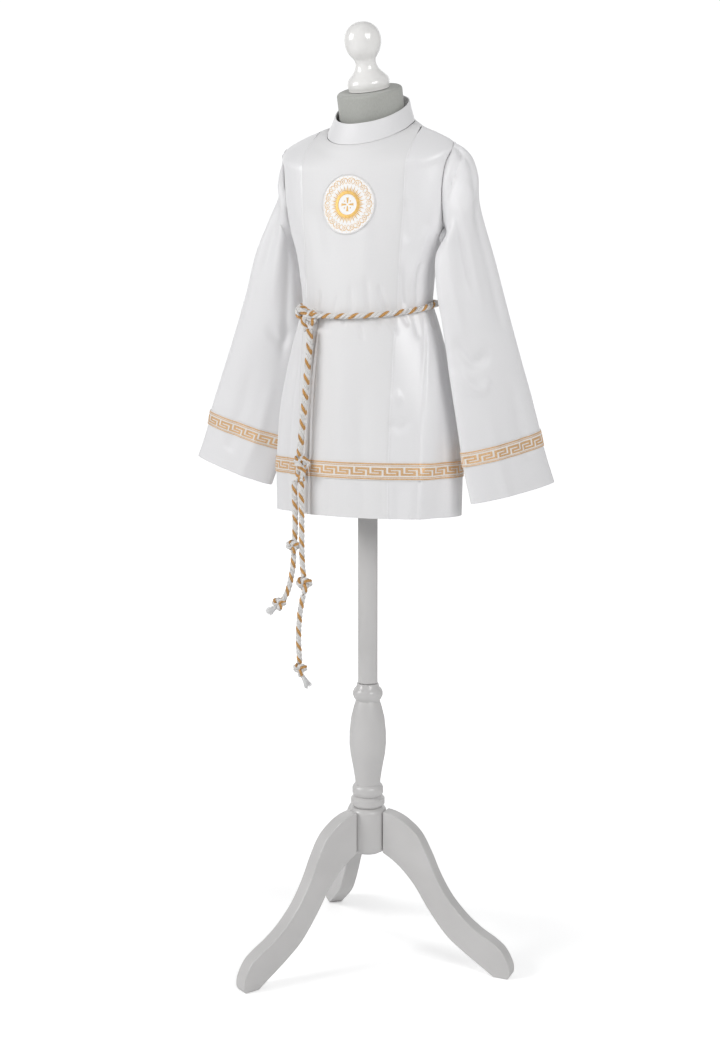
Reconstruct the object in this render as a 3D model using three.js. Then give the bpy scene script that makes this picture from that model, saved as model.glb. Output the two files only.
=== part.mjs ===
// A child's short white alb, filled out on a limbless dress form with a tripod stand.
// Millimetres, +Z up. The garment's front faces -Y and the wearer's left is +X.
// Sizes are measured from the post's axis at the floor; the exported group then moves
// the whole object so that its origin is the middle of its footprint box.
import * as THREE from 'three';

// ---- driving dimensions -------------------------------------------------------------
const CLOTH = 1.5;             // garment wall
const COLLAR_WALL = 2;         // doubled cloth of the stand collar
const TRIM_WALL = 1;           // galloon bands and medallion
const BAND_LIFT = 0.35;        // clearance under the galloon and the medallion
const GAP = 0.3;               // clearance between neighbouring pieces
const SEAM_INSET = 0.2;        // from a seam line to a panel's edge
const FOOTPRINT_CENTRE = { x: -39, y: -16 };

const MEDALLION = { radius: 46, z: 1232, segments: 28, rings: 4 };
const CORD = { diameter: 9.6, sides: 8, step: 1.8 };    // a step is in diameters
const NECK_TILT = THREE.MathUtils.degToRad(18);
const NECK_TOP = { y: 5, z: 1411.5, radius: 51, edge: 5 };
const POLE = { radius: 16, bottom: 466, top: 850 };
const LEG = { thickness: 25, directions: [-27, 93, -139] };

// Rings of the body from the hem to the neck seam: heights at centre front, side and
// centre back, half width, depths to the front and back of the ring's own centre, that
// centre's y, and the distance of the princess seam from the centre line.
const BODY_ROWS = [
  { name: 'hem',          zFront: 753,  zSide: 751,  zBack: 754,  half: 155, front: 100,  back: 108, centre: 0,  princess: 75 },
  { name: 'band foot',    zFront: 813,  zSide: 812,  zBack: 815,  half: 156, front: 100,  back: 107, centre: 0,  princess: 75 },
  { name: 'band head',    zFront: 841,  zSide: 840,  zBack: 843,  half: 155, front: 99,   back: 106, centre: 0,  princess: 76 },
  { name: 'skirt',        zFront: 910,  zSide: 910,  zBack: 912,  half: 149, front: 97,   back: 103, centre: 0,  princess: 77 },
  { name: 'hip',          zFront: 960,  zSide: 960,  zBack: 962,  half: 139, front: 95.5, back: 99,  centre: 0,  princess: 78 },
  { name: 'high hip',     zFront: 1010, zSide: 1012, zBack: 1016, half: 127, front: 93.5, back: 94,  centre: 0,  princess: 78 },
  { name: 'under belt',   zFront: 1044, zSide: 1056, zBack: 1062, half: 115, front: 91.5, back: 88,  centre: 0,  princess: 78.5 },
  { name: 'belt',         zFront: 1063, zSide: 1080, zBack: 1086, half: 107, front: 89.5, back: 84,  centre: 0,  princess: 79 },
  { name: 'over belt',    zFront: 1084, zSide: 1102, zBack: 1108, half: 108, front: 88,   back: 86,  centre: 0,  princess: 79.5 },
  { name: 'blouse',       zFront: 1120, zSide: 1130, zBack: 1134, half: 111, front: 84,   back: 88,  centre: 0,  princess: 80 },
  { name: 'ribs',         zFront: 1160, zSide: 1163, zBack: 1165, half: 119, front: 78,   back: 87,  centre: 0,  princess: 81 },
  { name: 'armpit',       zFront: 1196, zSide: 1194, zBack: 1196, half: 131, front: 73.5, back: 84,  centre: 0,  princess: 84 },
  { name: 'chest',        zFront: 1226, zSide: 1230, zBack: 1230, half: 139, front: 71,   back: 82,  centre: 0,  princess: 86 },
  { name: 'yoke',         zFront: 1252, zSide: 1270, zBack: 1264, half: 144, front: 70.5, back: 80,  centre: 1,  princess: 87 },
  { name: 'upper chest',  zFront: 1270, zSide: 1304, zBack: 1290, half: 145, front: 70,   back: 78,  centre: 1,  princess: 88 },
  { name: 'shoulder tip', zFront: 1284, zSide: 1325, zBack: 1313, half: 145, front: 69,   back: 78,  centre: 1,  princess: 88.5 },
  { name: 'shoulder',     zFront: 1296, zSide: 1341, zBack: 1337, half: 117, front: 70,   back: 74,  centre: 4,  princess: 88.8 },
  { name: 'seam end',     zFront: 1307, zSide: 1352, zBack: 1355, half: 89,  front: 72,   back: 67,  centre: 9,  princess: 88.9 },
  { name: 'neck side',    zFront: 1315, zSide: 1356, zBack: 1367, half: 79,  front: 73,   back: 60,  centre: 12, princess: 88.9 },
  { name: 'neck seam',    zFront: 1322, zSide: 1358, zBack: 1377, half: 70,  front: 73,   back: 55,  centre: 15, princess: 88.9 },
];
const ROW = Object.fromEntries(BODY_ROWS.map((row, index) => [row.name, index]));
const PANEL_ROWS = [0, 1, 2, 3, 4, 5, 6, 7, 8, 9, 10, 11, 11.3, 12, 12.5, 13, 13.5, 14, 14.6, 15, 16, 17, 18, 19];
const ARMHOLE_CUT = { front: 19, back: 15 };   // degrees that the armhole cuts into each side

const COLLAR_ROWS = [
  { name: 'collar seam', zFront: 1322.5, zSide: 1358.5, zBack: 1377.5, half: 69.6, front: 72.6, back: 54.6, centre: 15 },
  { name: 'collar mid',  zFront: 1339,   zSide: 1372,   zBack: 1395,   half: 63,   front: 67,   back: 58,   centre: 15.5 },
  { name: 'collar edge', zFront: 1355,   zSide: 1385,   zBack: 1412,   half: 57.5, front: 62,   back: 61,   centre: 16 },
];

// The largest folds: where each runs on the body (degrees from centre front, towards the
// wearer's left, at its head and foot), its half width in degrees, its height and its rows.
const BODY_FOLDS = [
  { name: 'left front ridge',  head: 76,   foot: 48,   width: 9,  height: 5,   from: -1, to: 6.6 },
  { name: 'left front valley', head: 90,   foot: 66,   width: 8,  height: -4,  from: -1, to: 6.3 },
  { name: 'left side ridge',   head: 102,  foot: 96,   width: 9,  height: 4,   from: -1, to: 6.4 },
  { name: 'right front ridge', head: -58,  foot: -60,  width: 9,  height: 4,   from: -1, to: 6.4 },
  { name: 'right side valley', head: -88,  foot: -84,  width: 8,  height: -3,  from: -1, to: 6.2 },
  { name: 'back left ridge',   head: 140,  foot: 134,  width: 10, height: 5,   from: -1, to: 6.6 },
  { name: 'back left valley',  head: 158,  foot: 154,  width: 8,  height: -4,  from: -1, to: 6.2 },
  { name: 'back right ridge',  head: -132, foot: -140, width: 10, height: 5.5, from: -1, to: 6.6 },
  { name: 'back right valley', head: -155, foot: -160, width: 8,  height: -3,  from: -1, to: 6.3 },
];

// Sleeve sections below the armhole: the outer crease, the underarm fold, and how far the
// outer and inner faces stand off the flat between them.
const LEFT_SLEEVE = [
  { name: 'cap',       top: [168, 6, 1311],    under: [136, -7, 1186],    outer: 36,   inner: 24 },
  { name: 'head',      top: [179, 13, 1278],   under: [133, -23, 1170],   outer: 34,   inner: 14 },
  { name: 'upper arm', top: [177, 24, 1232],   under: [129.5, -31, 1145],   outer: 32,   inner: 12 },
  { name: 'mid arm',   top: [197, 40, 1150],   under: [134, -33, 1095],   outer: 29,   inner: 14 },
  { name: 'elbow',     top: [212, 56, 1078],   under: [144, -33, 1045],   outer: 26,   inner: 16 },
  { name: 'forearm',   top: [228, 72, 1005],   under: [155, -34, 980],    outer: 24,   inner: 18 },
  { name: 'lower arm', top: [244, 88, 935],    under: [167, -35, 915],    outer: 22,   inner: 19 },
  { name: 'band head', top: [254, 100, 885],   under: [177, -35, 857],    outer: 21,   inner: 20 },
  { name: 'band foot', top: [259, 104, 859],   under: [181, -35, 833],    outer: 20.5, inner: 20 },
  { name: 'hem fold',  top: [267, 108, 830],   under: [187, -35, 805],    outer: 20,   inner: 19 },
  { name: 'cuff',      top: [276, 112, 801],   under: [194, -35, 777],    outer: 19,   inner: 18 },
];
const RIGHT_SLEEVE = [
  { name: 'cap',       top: [-152, 5, 1309],   under: [-135, 0, 1187],    outer: 36,   inner: 30 },
  { name: 'head',      top: [-161, 8, 1278],   under: [-134, 4, 1168],    outer: 33,   inner: 28 },
  { name: 'upper arm', top: [-184, 14, 1228],  under: [-131, 12, 1138],   outer: 30,   inner: 26 },
  { name: 'mid arm',   top: [-213, 24, 1165],  under: [-130, 20, 1095],   outer: 28,   inner: 25 },
  { name: 'elbow',     top: [-241, 33, 1095],  under: [-133, 29, 1045],   outer: 26,   inner: 24 },
  { name: 'forearm',   top: [-272, 41, 1022],  under: [-140, 37, 985],    outer: 24,   inner: 23 },
  { name: 'lower arm', top: [-301, 47, 955],   under: [-151, 41, 925],    outer: 22,   inner: 22 },
  { name: 'band head', top: [-324, 51, 901],   under: [-165, 41, 862],    outer: 21,   inner: 21 },
  { name: 'band foot', top: [-331, 53, 877],   under: [-175, 40, 837],    outer: 20.5, inner: 20.5 },
  { name: 'hem fold',  top: [-343, 57, 849],   under: [-187, 37, 808],    outer: 20,   inner: 20 },
  { name: 'cuff',      top: [-357, 60, 820],   under: [-198, 35, 779],    outer: 19,   inner: 19 },
];
const SLEEVE_COLUMNS = 18;
const SLEEVE_BAND = { from: 8, to: 9 };      // sections, counted from the armhole as 0

// The jersey-covered torso and its neck block, ring by ring.
const TORSO_ROWS = [
  { zFront: 850,  zSide: 850,  zBack: 850,  half: 108, front: 74, back: 82, centre: 0 },
  { zFront: 856,  zSide: 856,  zBack: 856,  half: 113, front: 79, back: 87, centre: 0 },
  { zFront: 920,  zSide: 920,  zBack: 920,  half: 114, front: 79, back: 86, centre: 0 },
  { zFront: 975,  zSide: 975,  zBack: 975,  half: 108, front: 76, back: 80, centre: 0 },
  { zFront: 1030, zSide: 1032, zBack: 1034, half: 98,  front: 74, back: 73, centre: 0 },
  { zFront: 1080, zSide: 1086, zBack: 1088, half: 93,  front: 71, back: 70, centre: 0 },
  { zFront: 1130, zSide: 1136, zBack: 1138, half: 97,  front: 68, back: 73, centre: 0 },
  { zFront: 1190, zSide: 1192, zBack: 1192, half: 112, front: 64, back: 76, centre: 0 },
  { zFront: 1240, zSide: 1250, zBack: 1248, half: 128, front: 61, back: 74, centre: 1 },
  { zFront: 1264, zSide: 1290, zBack: 1282, half: 134, front: 61, back: 69, centre: 3 },
  { zFront: 1279, zSide: 1312, zBack: 1305, half: 130, front: 62, back: 65, centre: 5 },
  { zFront: 1290, zSide: 1324, zBack: 1327, half: 112, front: 63, back: 60, centre: 8 },
  { zFront: 1301, zSide: 1335, zBack: 1344, half: 86,  front: 64, back: 55, centre: 12 },
  { zFront: 1310, zSide: 1341, zBack: 1356, half: 68,  front: 63, back: 50, centre: 15 },
  { zFront: 1318, zSide: 1346, zBack: 1364, half: 57,  front: 58, back: 47, centre: 16 },
];
const NECK_ROWS = [
  { zFront: 1318.5, zSide: 1346.5, zBack: 1364.5, half: 56.5, front: 57.5, back: 46.5, centre: 16 },
  { zFront: 1330,   zSide: 1353,   zBack: 1369,   half: 52.5, front: 54,   back: 47.5, centre: 18 },
  { zFront: 1354,   zSide: 1372,   zBack: 1388,   half: 51,   front: 51.5, back: 50.5, centre: 16 },
  { zFront: 1385,   zSide: 1401,   zBack: 1417,   half: 51,   front: 51,   back: 51,   centre: 8 },
];

// Turned profiles: radius and height, from bottom to top.
const FINIAL_PROFILE = [[0, 0], [29, 0], [32, 3], [33.3, 8], [33, 13], [30, 18.5], [24, 24.5], [18.8, 31], [16.4, 38],
  [16.4, 43], [18, 47.5], [21.8, 52.5], [25.8, 59], [28.2, 66.5], [28.8, 73], [28.2, 79.5], [26, 86.5], [22, 92.5],
  [15.5, 98], [8, 101.2], [0, 102]];
const POST_PROFILE = [[0, 258], [25, 258], [28, 261.5], [28, 270.5], [25.5, 273.5], [22, 275], [23.5, 276.5],
  [25.5, 280], [25.5, 289], [23.5, 293], [20.5, 295], [21, 302], [24, 322], [28.5, 346], [30.3, 364], [30, 384],
  [27.5, 408], [22.5, 428], [19.5, 437], [22.5, 441], [24.5, 446], [24.5, 451], [22.5, 456], [19, 459],
  [17.5, 465.6], [0, 465.6]];
const HUB_PROFILE = [[0, 179], [22, 179], [28, 182.5], [30.3, 187], [31, 193], [31, 246], [30, 252], [27, 256], [22, 257.6], [0, 257.6]];
// A leg board's edges: distance from the post's axis and height.
const LEG_TOP_EDGE = [[31.4, 253], [48, 250], [68, 241], [92, 221], [110, 190], [127, 153], [148, 119], [174, 91],
  [199, 72], [222, 59], [240, 45], [252, 24], [254, 8], [250, 0]];
const LEG_UNDER_EDGE = [[226, 0], [205, 14], [172, 36], [142, 60], [112, 98], [86, 137], [58, 166], [31.4, 183]];

// The girdle's free runs, each a hand-laid route down its middle.
const ROUTES = {
  drop_front: [[-54.5, -95.8, 1042], [-53, -98.6, 1020], [-55.2, -101, 988], [-56.9, -103.6, 956], [-59.4, -105, 924],
    [-63.3, -106.3, 885], [-67, -107.6, 846.5]],
  drop_rear: [[-58, -86, 1042], [-56.5, -89, 1020], [-58.7, -91.4, 988], [-60.4, -94, 956], [-62.9, -95.4, 924],
    [-66.8, -96.7, 885], [-70.5, -98, 846.5]],
  short_upper: [[-75.5, -107, 806], [-76, -107, 790], [-75.2, -107, 767], [-75.2, -107, 735], [-76.5, -107, 712]],
  short_lower: [[-78.2, -107, 689], [-79.5, -107, 671], [-83, -107, 652], [-87.5, -107, 635], [-93, -107, 622],
    [-98, -107, 614.5]],
  long_upper: [[-64, -107, 806], [-63.6, -107, 790], [-63.6, -107, 767], [-63.4, -107, 735], [-63.6, -107, 700],
    [-62.4, -107, 672], [-60.5, -107, 655.5]],
  long_lower: [[-61.5, -107, 625.5], [-65, -107, 610], [-68, -107, 592], [-70, -107, 570], [-70.4, -107, 548],
    [-69.4, -107, 528], [-68.4, -107, 514.8]],
};
// Knots: centre, half sizes and turn about the upright, in degrees.
const KNOTS = {
  knot_main:        { at: [-59, -88.5, 1063], size: [19, 10, 20], turn: -22 },
  knot_double:      { at: [-65, -104.3, 826], size: [15, 10.5, 19], turn: 0 },
  knot_short_mid:   { at: [-78.2, -108, 700.5], size: [9, 9, 11], turn: 0 },
  knot_short_end:   { at: [-105, -107, 606.5], size: [10, 9, 9], turn: 0 },
  knot_long_mid:    { at: [-59.5, -107, 640.5], size: [11, 9, 14], turn: 0 },
  knot_long_end:    { at: [-67.7, -107, 503], size: [10, 9, 11], turn: 0 },
};
// Frayed tips: from the knot outwards.
const TIPS = {
  tip_short: { from: [-114, -107, 600.2], to: [-125, -107, 592], neck: 5, mouth: 8 },
  tip_long:  { from: [-62.6, -107, 492.6], to: [-53, -107, 478], neck: 4.5, mouth: 6.5 },
};

// ---- materials ----------------------------------------------------------------------
const MATERIALS = {
  cloth: new THREE.MeshStandardMaterial({ color: 0xe4e2e3, roughness: 0.55, metalness: 0 }),
  galloon: new THREE.MeshStandardMaterial({ color: 0xd9bd97, roughness: 0.45, metalness: 0.3 }),
  medallion: new THREE.MeshStandardMaterial({ color: 0xf0e6d4, roughness: 0.6, metalness: 0.1 }),
  cord: new THREE.MeshStandardMaterial({ color: 0xe6d3b4, roughness: 0.5, metalness: 0.1 }),
  jersey: new THREE.MeshStandardMaterial({ color: 0xa9a9a4, roughness: 0.9, metalness: 0 }),
  finial: new THREE.MeshStandardMaterial({ color: 0xefedea, roughness: 0.15, metalness: 0 }),
  paint: new THREE.MeshStandardMaterial({ color: 0xc8c6c4, roughness: 0.4, metalness: 0 }),
};

// ---- ring and surface maths -----------------------------------------------------------
const rad = THREE.MathUtils.degToRad;
const deg = THREE.MathUtils.radToDeg;

/** A row part of the way between the numbered rows of a table, on a smooth curve. */
function rowAt(rows, place) {
  const last = rows.length - 1;
  const start = Math.min(Math.max(Math.floor(place), 0), last - 1);
  const t = place - start;
  const near = [start - 1, start, start + 1, start + 2].map((i) => rows[Math.min(Math.max(i, 0), last)]);
  const row = {};
  for (const key of Object.keys(near[1])) {
    if (key === 'name') continue;
    const [a, b, c, d] = near.map((r) => r[key]);
    row[key] = b + 0.5 * t * (c - a + t * (2 * a - 5 * b + 4 * c - d + t * (3 * (b - c) + d - a)));
  }
  return row;
}

/** The point of a tilted oval ring at an angle from centre front, towards +X. */
function ringPoint(row, phi) {
  const ahead = Math.cos(phi);
  const depth = ahead > 0 ? row.front : row.back;
  const end = ahead > 0 ? row.zFront : row.zBack;
  const z = row.zSide + (end - row.zSide) * Math.abs(ahead);
  return new THREE.Vector3(row.half * Math.sin(phi), row.centre - depth * ahead, z);
}

/** How far the folds stand out at an angle and row of the body. */
function foldHeight(phi, place) {
  let height = 0;
  for (const fold of BODY_FOLDS) {
    const run = THREE.MathUtils.clamp((fold.to - place) / (fold.to - ROW.hem), 0, 1);
    const middle = fold.head + (fold.foot - fold.head) * run;
    const across = (deg(phi) - middle) / fold.width;
    const along = THREE.MathUtils.smoothstep(fold.to - place, 0, 3);
    height += fold.height * along * Math.exp(-across * across);
  }
  return height;
}

function bodyPoint(phi, place) {
  const row = rowAt(BODY_ROWS, place);
  const point = ringPoint(row, phi);
  const depth = Math.cos(phi) > 0 ? row.front : row.back;
  const out = new THREE.Vector3(Math.sin(phi) / row.half, -Math.cos(phi) / depth, 0).normalize();
  return point.addScaledVector(out, foldHeight(phi, place));
}

/** The outward normal of a surface of two numbers, pointing away from a middle point. */
function normalAt(surface, u, v, middle) {
  const stepU = 0.01;
  const stepV = 0.02;
  const alongU = surface(u + stepU, v).sub(surface(u - stepU, v));
  const alongV = surface(u, v + stepV).sub(surface(u, v - stepV));
  const normal = alongU.cross(alongV).normalize();
  const outward = surface(u, v).sub(middle(v));
  return normal.dot(outward) < 0 ? normal.negate() : normal;
}

const bodyMiddle = (place) => {
  const row = rowAt(BODY_ROWS, place);
  return new THREE.Vector3(0, row.centre, row.zSide);
};

/** A closed wall from rows of { point, normal }, lifted off them and thickened. */
function wall(grid, { lift = 0, thickness, loop = false }) {
  const rows = grid.length;
  const columns = grid[0].length;
  const positions = [];
  for (const base of [lift + (lift > 0 ? thickness : 0), lift - (lift > 0 ? 0 : thickness)]) {
    for (const row of grid) {
      for (const { point, normal } of row) positions.push(...point.clone().addScaledVector(normal, base).toArray());
    }
  }
  const at = (side, j, i) => side * rows * columns + j * columns + (i % columns);
  const index = [];
  const quad = (a, b, c, d) => index.push(a, b, c, a, c, d);
  const spans = loop ? columns : columns - 1;
  for (let j = 0; j < rows - 1; j += 1) {
    for (let i = 0; i < spans; i += 1) {
      quad(at(0, j, i), at(0, j, i + 1), at(0, j + 1, i + 1), at(0, j + 1, i));
      quad(at(1, j, i), at(1, j + 1, i), at(1, j + 1, i + 1), at(1, j, i + 1));
    }
  }
  for (let i = 0; i < spans; i += 1) {
    quad(at(0, 0, i), at(1, 0, i), at(1, 0, i + 1), at(0, 0, i + 1));
    quad(at(0, rows - 1, i), at(0, rows - 1, i + 1), at(1, rows - 1, i + 1), at(1, rows - 1, i));
  }
  if (!loop) {
    const end = columns - 1;
    for (let j = 0; j < rows - 1; j += 1) {
      quad(at(0, j, 0), at(0, j + 1, 0), at(1, j + 1, 0), at(1, j, 0));
      quad(at(0, j, end), at(1, j, end), at(1, j + 1, end), at(0, j + 1, end));
    }
  }
  return facingOut(positions, index);
}

/** A geometry whose faces are turned round if they enclose a negative volume. */
function facingOut(positions, index) {
  const vertex = (i) => new THREE.Vector3().fromArray(positions, 3 * i);
  let volume = 0;
  for (let i = 0; i < index.length; i += 3) {
    volume += vertex(index[i]).dot(vertex(index[i + 1]).cross(vertex(index[i + 2])));
  }
  if (volume < 0) index.reverse();
  const geometry = new THREE.BufferGeometry();
  geometry.setAttribute('position', new THREE.Float32BufferAttribute(positions, 3));
  geometry.setIndex(index);
  return geometry;
}

// ---- the body's panels ------------------------------------------------------------------
/** The princess seam's angle, which runs up to the shoulder seam. */
const princessAngle = (place) => {
  if (place > ROW['seam end']) return Math.PI / 2;
  const row = rowAt(BODY_ROWS, place);
  return Math.asin(row.princess / row.half);
};

/** The angle of a side panel's outer edge: the side seam, the armhole, the shoulder seam. */
function sideAngle(place, cut) {
  const up = (place - ROW.armpit) / (ROW['shoulder tip'] - ROW.armpit);
  if (up <= 0 || up >= 1) return Math.PI / 2;
  return Math.PI / 2 - rad(cut) * Math.sin(Math.PI * up) ** 0.7;
}

/** The body's panels: two edges, each an angle for every row, and a number of columns. */
const PANELS = {
  back_left: { from: (p) => Math.PI - sideAngle(p, ARMHOLE_CUT.back), to: () => Math.PI, columns: 9, last: 'neck seam' },
  back_right: { from: () => -Math.PI, to: (p) => sideAngle(p, ARMHOLE_CUT.back) - Math.PI, columns: 9, last: 'neck seam' },
  front_side_right: { from: (p) => -sideAngle(p, ARMHOLE_CUT.front), to: (p) => -princessAngle(p), columns: 8, last: 'seam end' },
  front_centre: { from: (p) => -princessAngle(p), to: princessAngle, columns: 14, last: 'neck seam' },
  front_side_left: { from: princessAngle, to: (p) => sideAngle(p, ARMHOLE_CUT.front), columns: 8, last: 'seam end' },
};

/** One row of a panel's grid, a little inside its two seams. */
function panelRow({ from, to, columns }, place) {
  const inset = SEAM_INSET / rowAt(BODY_ROWS, place).front;
  const start = from(place) + inset;
  const end = to(place) - inset;
  return Array.from({ length: columns + 1 }, (_, i) => {
    const phi = start + (end - start) * (i / columns);
    return { point: bodyPoint(phi, place), normal: normalAt(bodyPoint, phi, place, bodyMiddle) };
  });
}

function bodyPanel(panel) {
  const places = PANEL_ROWS.filter((place) => place <= ROW[panel.last]);
  return wall(places.map((place) => panelRow(panel, place)), { thickness: CLOTH });
}

function collar() {
  const middle = () => new THREE.Vector3(0, 16, 1370);
  const surface = (phi, place) => ringPoint(rowAt(COLLAR_ROWS, place), phi);
  const end = Math.PI - 0.006;
  const grid = COLLAR_ROWS.map((_, place) => Array.from({ length: 29 }, (__, i) => {
    const phi = -end + (2 * end * i) / 28;
    return { point: surface(phi, place), normal: normalAt(surface, phi, place, middle) };
  }));
  return wall(grid, { thickness: COLLAR_WALL });
}

/** The galloon round the body, on the panels' own points, its joint at the left side seam. */
function bodyBand() {
  const grid = [ROW['band foot'], ROW['band head']].map((place) => Object.values(PANELS).flatMap((panel, i, all) => {
    const row = panelRow(panel, place);
    return i === all.length - 1 ? row : row.slice(0, -1);
  }));
  return wall(grid, { lift: BAND_LIFT, thickness: TRIM_WALL });
}

/** The point of the front at a distance from the centre line and a height. */
function frontPoint(x, z) {
  let low = ROW.ribs;
  let high = ROW['shoulder tip'];
  for (let step = 0; step < 24; step += 1) {
    const place = (low + high) / 2;
    const point = bodyPoint(Math.asin(x / rowAt(BODY_ROWS, place).half), place);
    if (point.z < z) low = place;
    else high = place;
  }
  const phi = Math.asin(x / rowAt(BODY_ROWS, low).half);
  return { point: bodyPoint(phi, low), normal: normalAt(bodyPoint, phi, low, bodyMiddle) };
}

/** The round patch, laid on the front from its points. */
function medallion() {
  const grid = [];
  for (let ring = 1; ring <= MEDALLION.rings; ring += 1) {
    const radius = (MEDALLION.radius * ring) / MEDALLION.rings;
    grid.push(Array.from({ length: MEDALLION.segments }, (_, i) => {
      const turn = (2 * Math.PI * i) / MEDALLION.segments;
      return frontPoint(radius * Math.cos(turn), MEDALLION.z + radius * Math.sin(turn));
    }));
  }
  const centre = frontPoint(0, MEDALLION.z);
  return disc(centre, grid, BAND_LIFT, TRIM_WALL);
}

/** A closed plate from a centre and the rings round it. */
function disc(centre, rings, lift, thickness) {
  const positions = [];
  const count = rings[0].length;
  for (const base of [lift + thickness, lift]) {
    for (const { point, normal } of [centre, ...rings.flat()]) {
      positions.push(...point.clone().addScaledVector(normal, base).toArray());
    }
  }
  const side = 1 + rings.length * count;
  const at = (face, ring, i) => face * side + 1 + ring * count + (i % count);
  const index = [];
  for (let i = 0; i < count; i += 1) {
    index.push(0, at(0, 0, i), at(0, 0, i + 1), side, at(1, 0, i + 1), at(1, 0, i));
    for (let ring = 0; ring < rings.length - 1; ring += 1) {
      index.push(at(0, ring, i), at(0, ring + 1, i), at(0, ring + 1, i + 1));
      index.push(at(0, ring, i), at(0, ring + 1, i + 1), at(0, ring, i + 1));
      index.push(at(1, ring, i), at(1, ring + 1, i + 1), at(1, ring + 1, i));
      index.push(at(1, ring, i), at(1, ring, i + 1), at(1, ring + 1, i + 1));
    }
    const rim = rings.length - 1;
    index.push(at(0, rim, i), at(1, rim, i), at(1, rim, i + 1));
    index.push(at(0, rim, i), at(1, rim, i + 1), at(0, rim, i + 1));
  }
  return facingOut(positions, index);
}

// ---- sleeves ----------------------------------------------------------------------------
/** The armhole's edge: 0 at the shoulder tip, a quarter turn at the front, half at the armpit. */
function armholePoint(turn, sign) {
  const place = ROW['shoulder tip'] - ((ROW['shoulder tip'] - ROW.armpit) * (1 - Math.cos(turn))) / 2;
  const front = Math.sin(turn) >= 0;
  const edge = sideAngle(place, front ? ARMHOLE_CUT.front : ARMHOLE_CUT.back);
  return bodyPoint(sign * (front ? edge : Math.PI - edge), place);
}

function sleeveSurface(sections, sign) {
  const columns = sections.map((s) => ({
    tx: s.top[0], ty: s.top[1], tz: s.top[2], ux: s.under[0], uy: s.under[1], uz: s.under[2], outer: s.outer, inner: s.inner,
  }));
  const tip = armholePoint(0, sign);
  const pit = armholePoint(Math.PI, sign);
  const rows = [{ tx: tip.x, ty: tip.y, tz: tip.z, ux: pit.x, uy: pit.y, uz: pit.z, outer: 36, inner: 30 }, ...columns];
  const ends = (place) => {
    const row = rowAt(rows, THREE.MathUtils.clamp(place, 0, rows.length - 1));
    return {
      top: new THREE.Vector3(row.tx, row.ty, row.tz),
      under: new THREE.Vector3(row.ux, row.uy, row.uz),
      outer: row.outer,
      inner: row.inner,
    };
  };
  const middle = (place) => {
    const { top, under } = ends(place);
    return top.add(under).multiplyScalar(0.5);
  };
  const oval = (turn, place) => {
    const { top, under, outer, inner } = ends(place);
    const depth = Math.sin(turn) > 0 ? outer : inner;
    const centre = top.clone().add(under).multiplyScalar(0.5);
    const across = top.sub(under).multiplyScalar(0.5);
    const face = new THREE.Vector3(across.y, -across.x, 0).normalize().multiplyScalar(sign);
    return centre.addScaledVector(across, Math.cos(turn)).addScaledVector(face, depth * Math.sin(turn));
  };
  const surface = (turn, place) => {
    const blend = THREE.MathUtils.smoothstep(place, 0, 1.4);
    const seam = armholePoint(((turn % (2 * Math.PI)) + 2 * Math.PI) % (2 * Math.PI), sign);
    seam.x += sign * 2 * GAP;
    return seam.lerp(oval(turn, place), blend);
  };
  return { surface, middle };
}

function sleeveGrid(shape, places, turns) {
  return places.map((place) => turns.map((turn) => ({
    point: shape.surface(turn, place),
    normal: normalAt(shape.surface, turn, place, shape.middle),
  })));
}

const SLEEVE_TURNS = Array.from({ length: SLEEVE_COLUMNS }, (_, i) => (2 * Math.PI * i) / SLEEVE_COLUMNS);
const SLEEVE_PLACES = [0, 0.35, 0.7, ...LEFT_SLEEVE.map((_, i) => i + 1)];

function sleeve(shape) {
  return wall(sleeveGrid(shape, SLEEVE_PLACES, SLEEVE_TURNS), { thickness: CLOTH, loop: true });
}

/** The galloon round a sleeve, its joint on the underarm seam. */
function sleeveBand(shape) {
  const joint = 0.01;
  const turns = [Math.PI + joint, ...SLEEVE_TURNS.slice(SLEEVE_COLUMNS / 2 + 1), ...SLEEVE_TURNS.slice(0, SLEEVE_COLUMNS / 2), Math.PI - joint];
  return wall(sleeveGrid(shape, [SLEEVE_BAND.from, SLEEVE_BAND.to], turns), { lift: BAND_LIFT, thickness: TRIM_WALL });
}

// ---- girdle -------------------------------------------------------------------------------
/** A plain round cord along a smooth route. */
function tube(points) {
  const radius = CORD.diameter / 2;
  const section = new THREE.Shape(Array.from({ length: CORD.sides }, (_, i) => {
    const turn = (2 * Math.PI * i) / CORD.sides;
    return new THREE.Vector2(radius * Math.cos(turn), radius * Math.sin(turn));
  }));
  const path = new THREE.CatmullRomCurve3(points.map((p) => new THREE.Vector3(...p)), false, 'centripetal');
  const steps = Math.ceil(path.getLength() / (CORD.step * CORD.diameter));
  return new THREE.ExtrudeGeometry(section, { steps, extrudePath: path, bevelEnabled: false });
}

/** The girdle round the waist, from one side of the main knot to the other. */
function belt() {
  const from = rad(-18);
  const to = rad(-45) + 2 * Math.PI;
  const clear = CORD.diameter / 2 + 1;
  const count = 40;
  return tube(Array.from({ length: count + 1 }, (_, i) => {
    const phi = from + ((to - from) * i) / count;
    const wrapped = phi > Math.PI ? phi - 2 * Math.PI : phi;
    const normal = normalAt(bodyPoint, wrapped, ROW.belt, bodyMiddle).setZ(0).normalize();
    return bodyPoint(wrapped, ROW.belt).addScaledVector(normal, clear).toArray();
  }));
}

function knot({ at, size, turn }) {
  const geometry = new THREE.SphereGeometry(1, 12, 7).rotateX(Math.PI / 2);
  return geometry.scale(...size).rotateZ(rad(turn)).translate(...at);
}

function tip({ from, to, neck, mouth }) {
  const start = new THREE.Vector3(...from);
  const run = new THREE.Vector3(...to).sub(start);
  const geometry = new THREE.CylinderGeometry(mouth, neck, run.length(), 10);
  geometry.translate(0, run.length() / 2, 0);
  geometry.applyQuaternion(new THREE.Quaternion().setFromUnitVectors(new THREE.Vector3(0, 1, 0), run.normalize()));
  return geometry.translate(...from);
}

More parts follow.
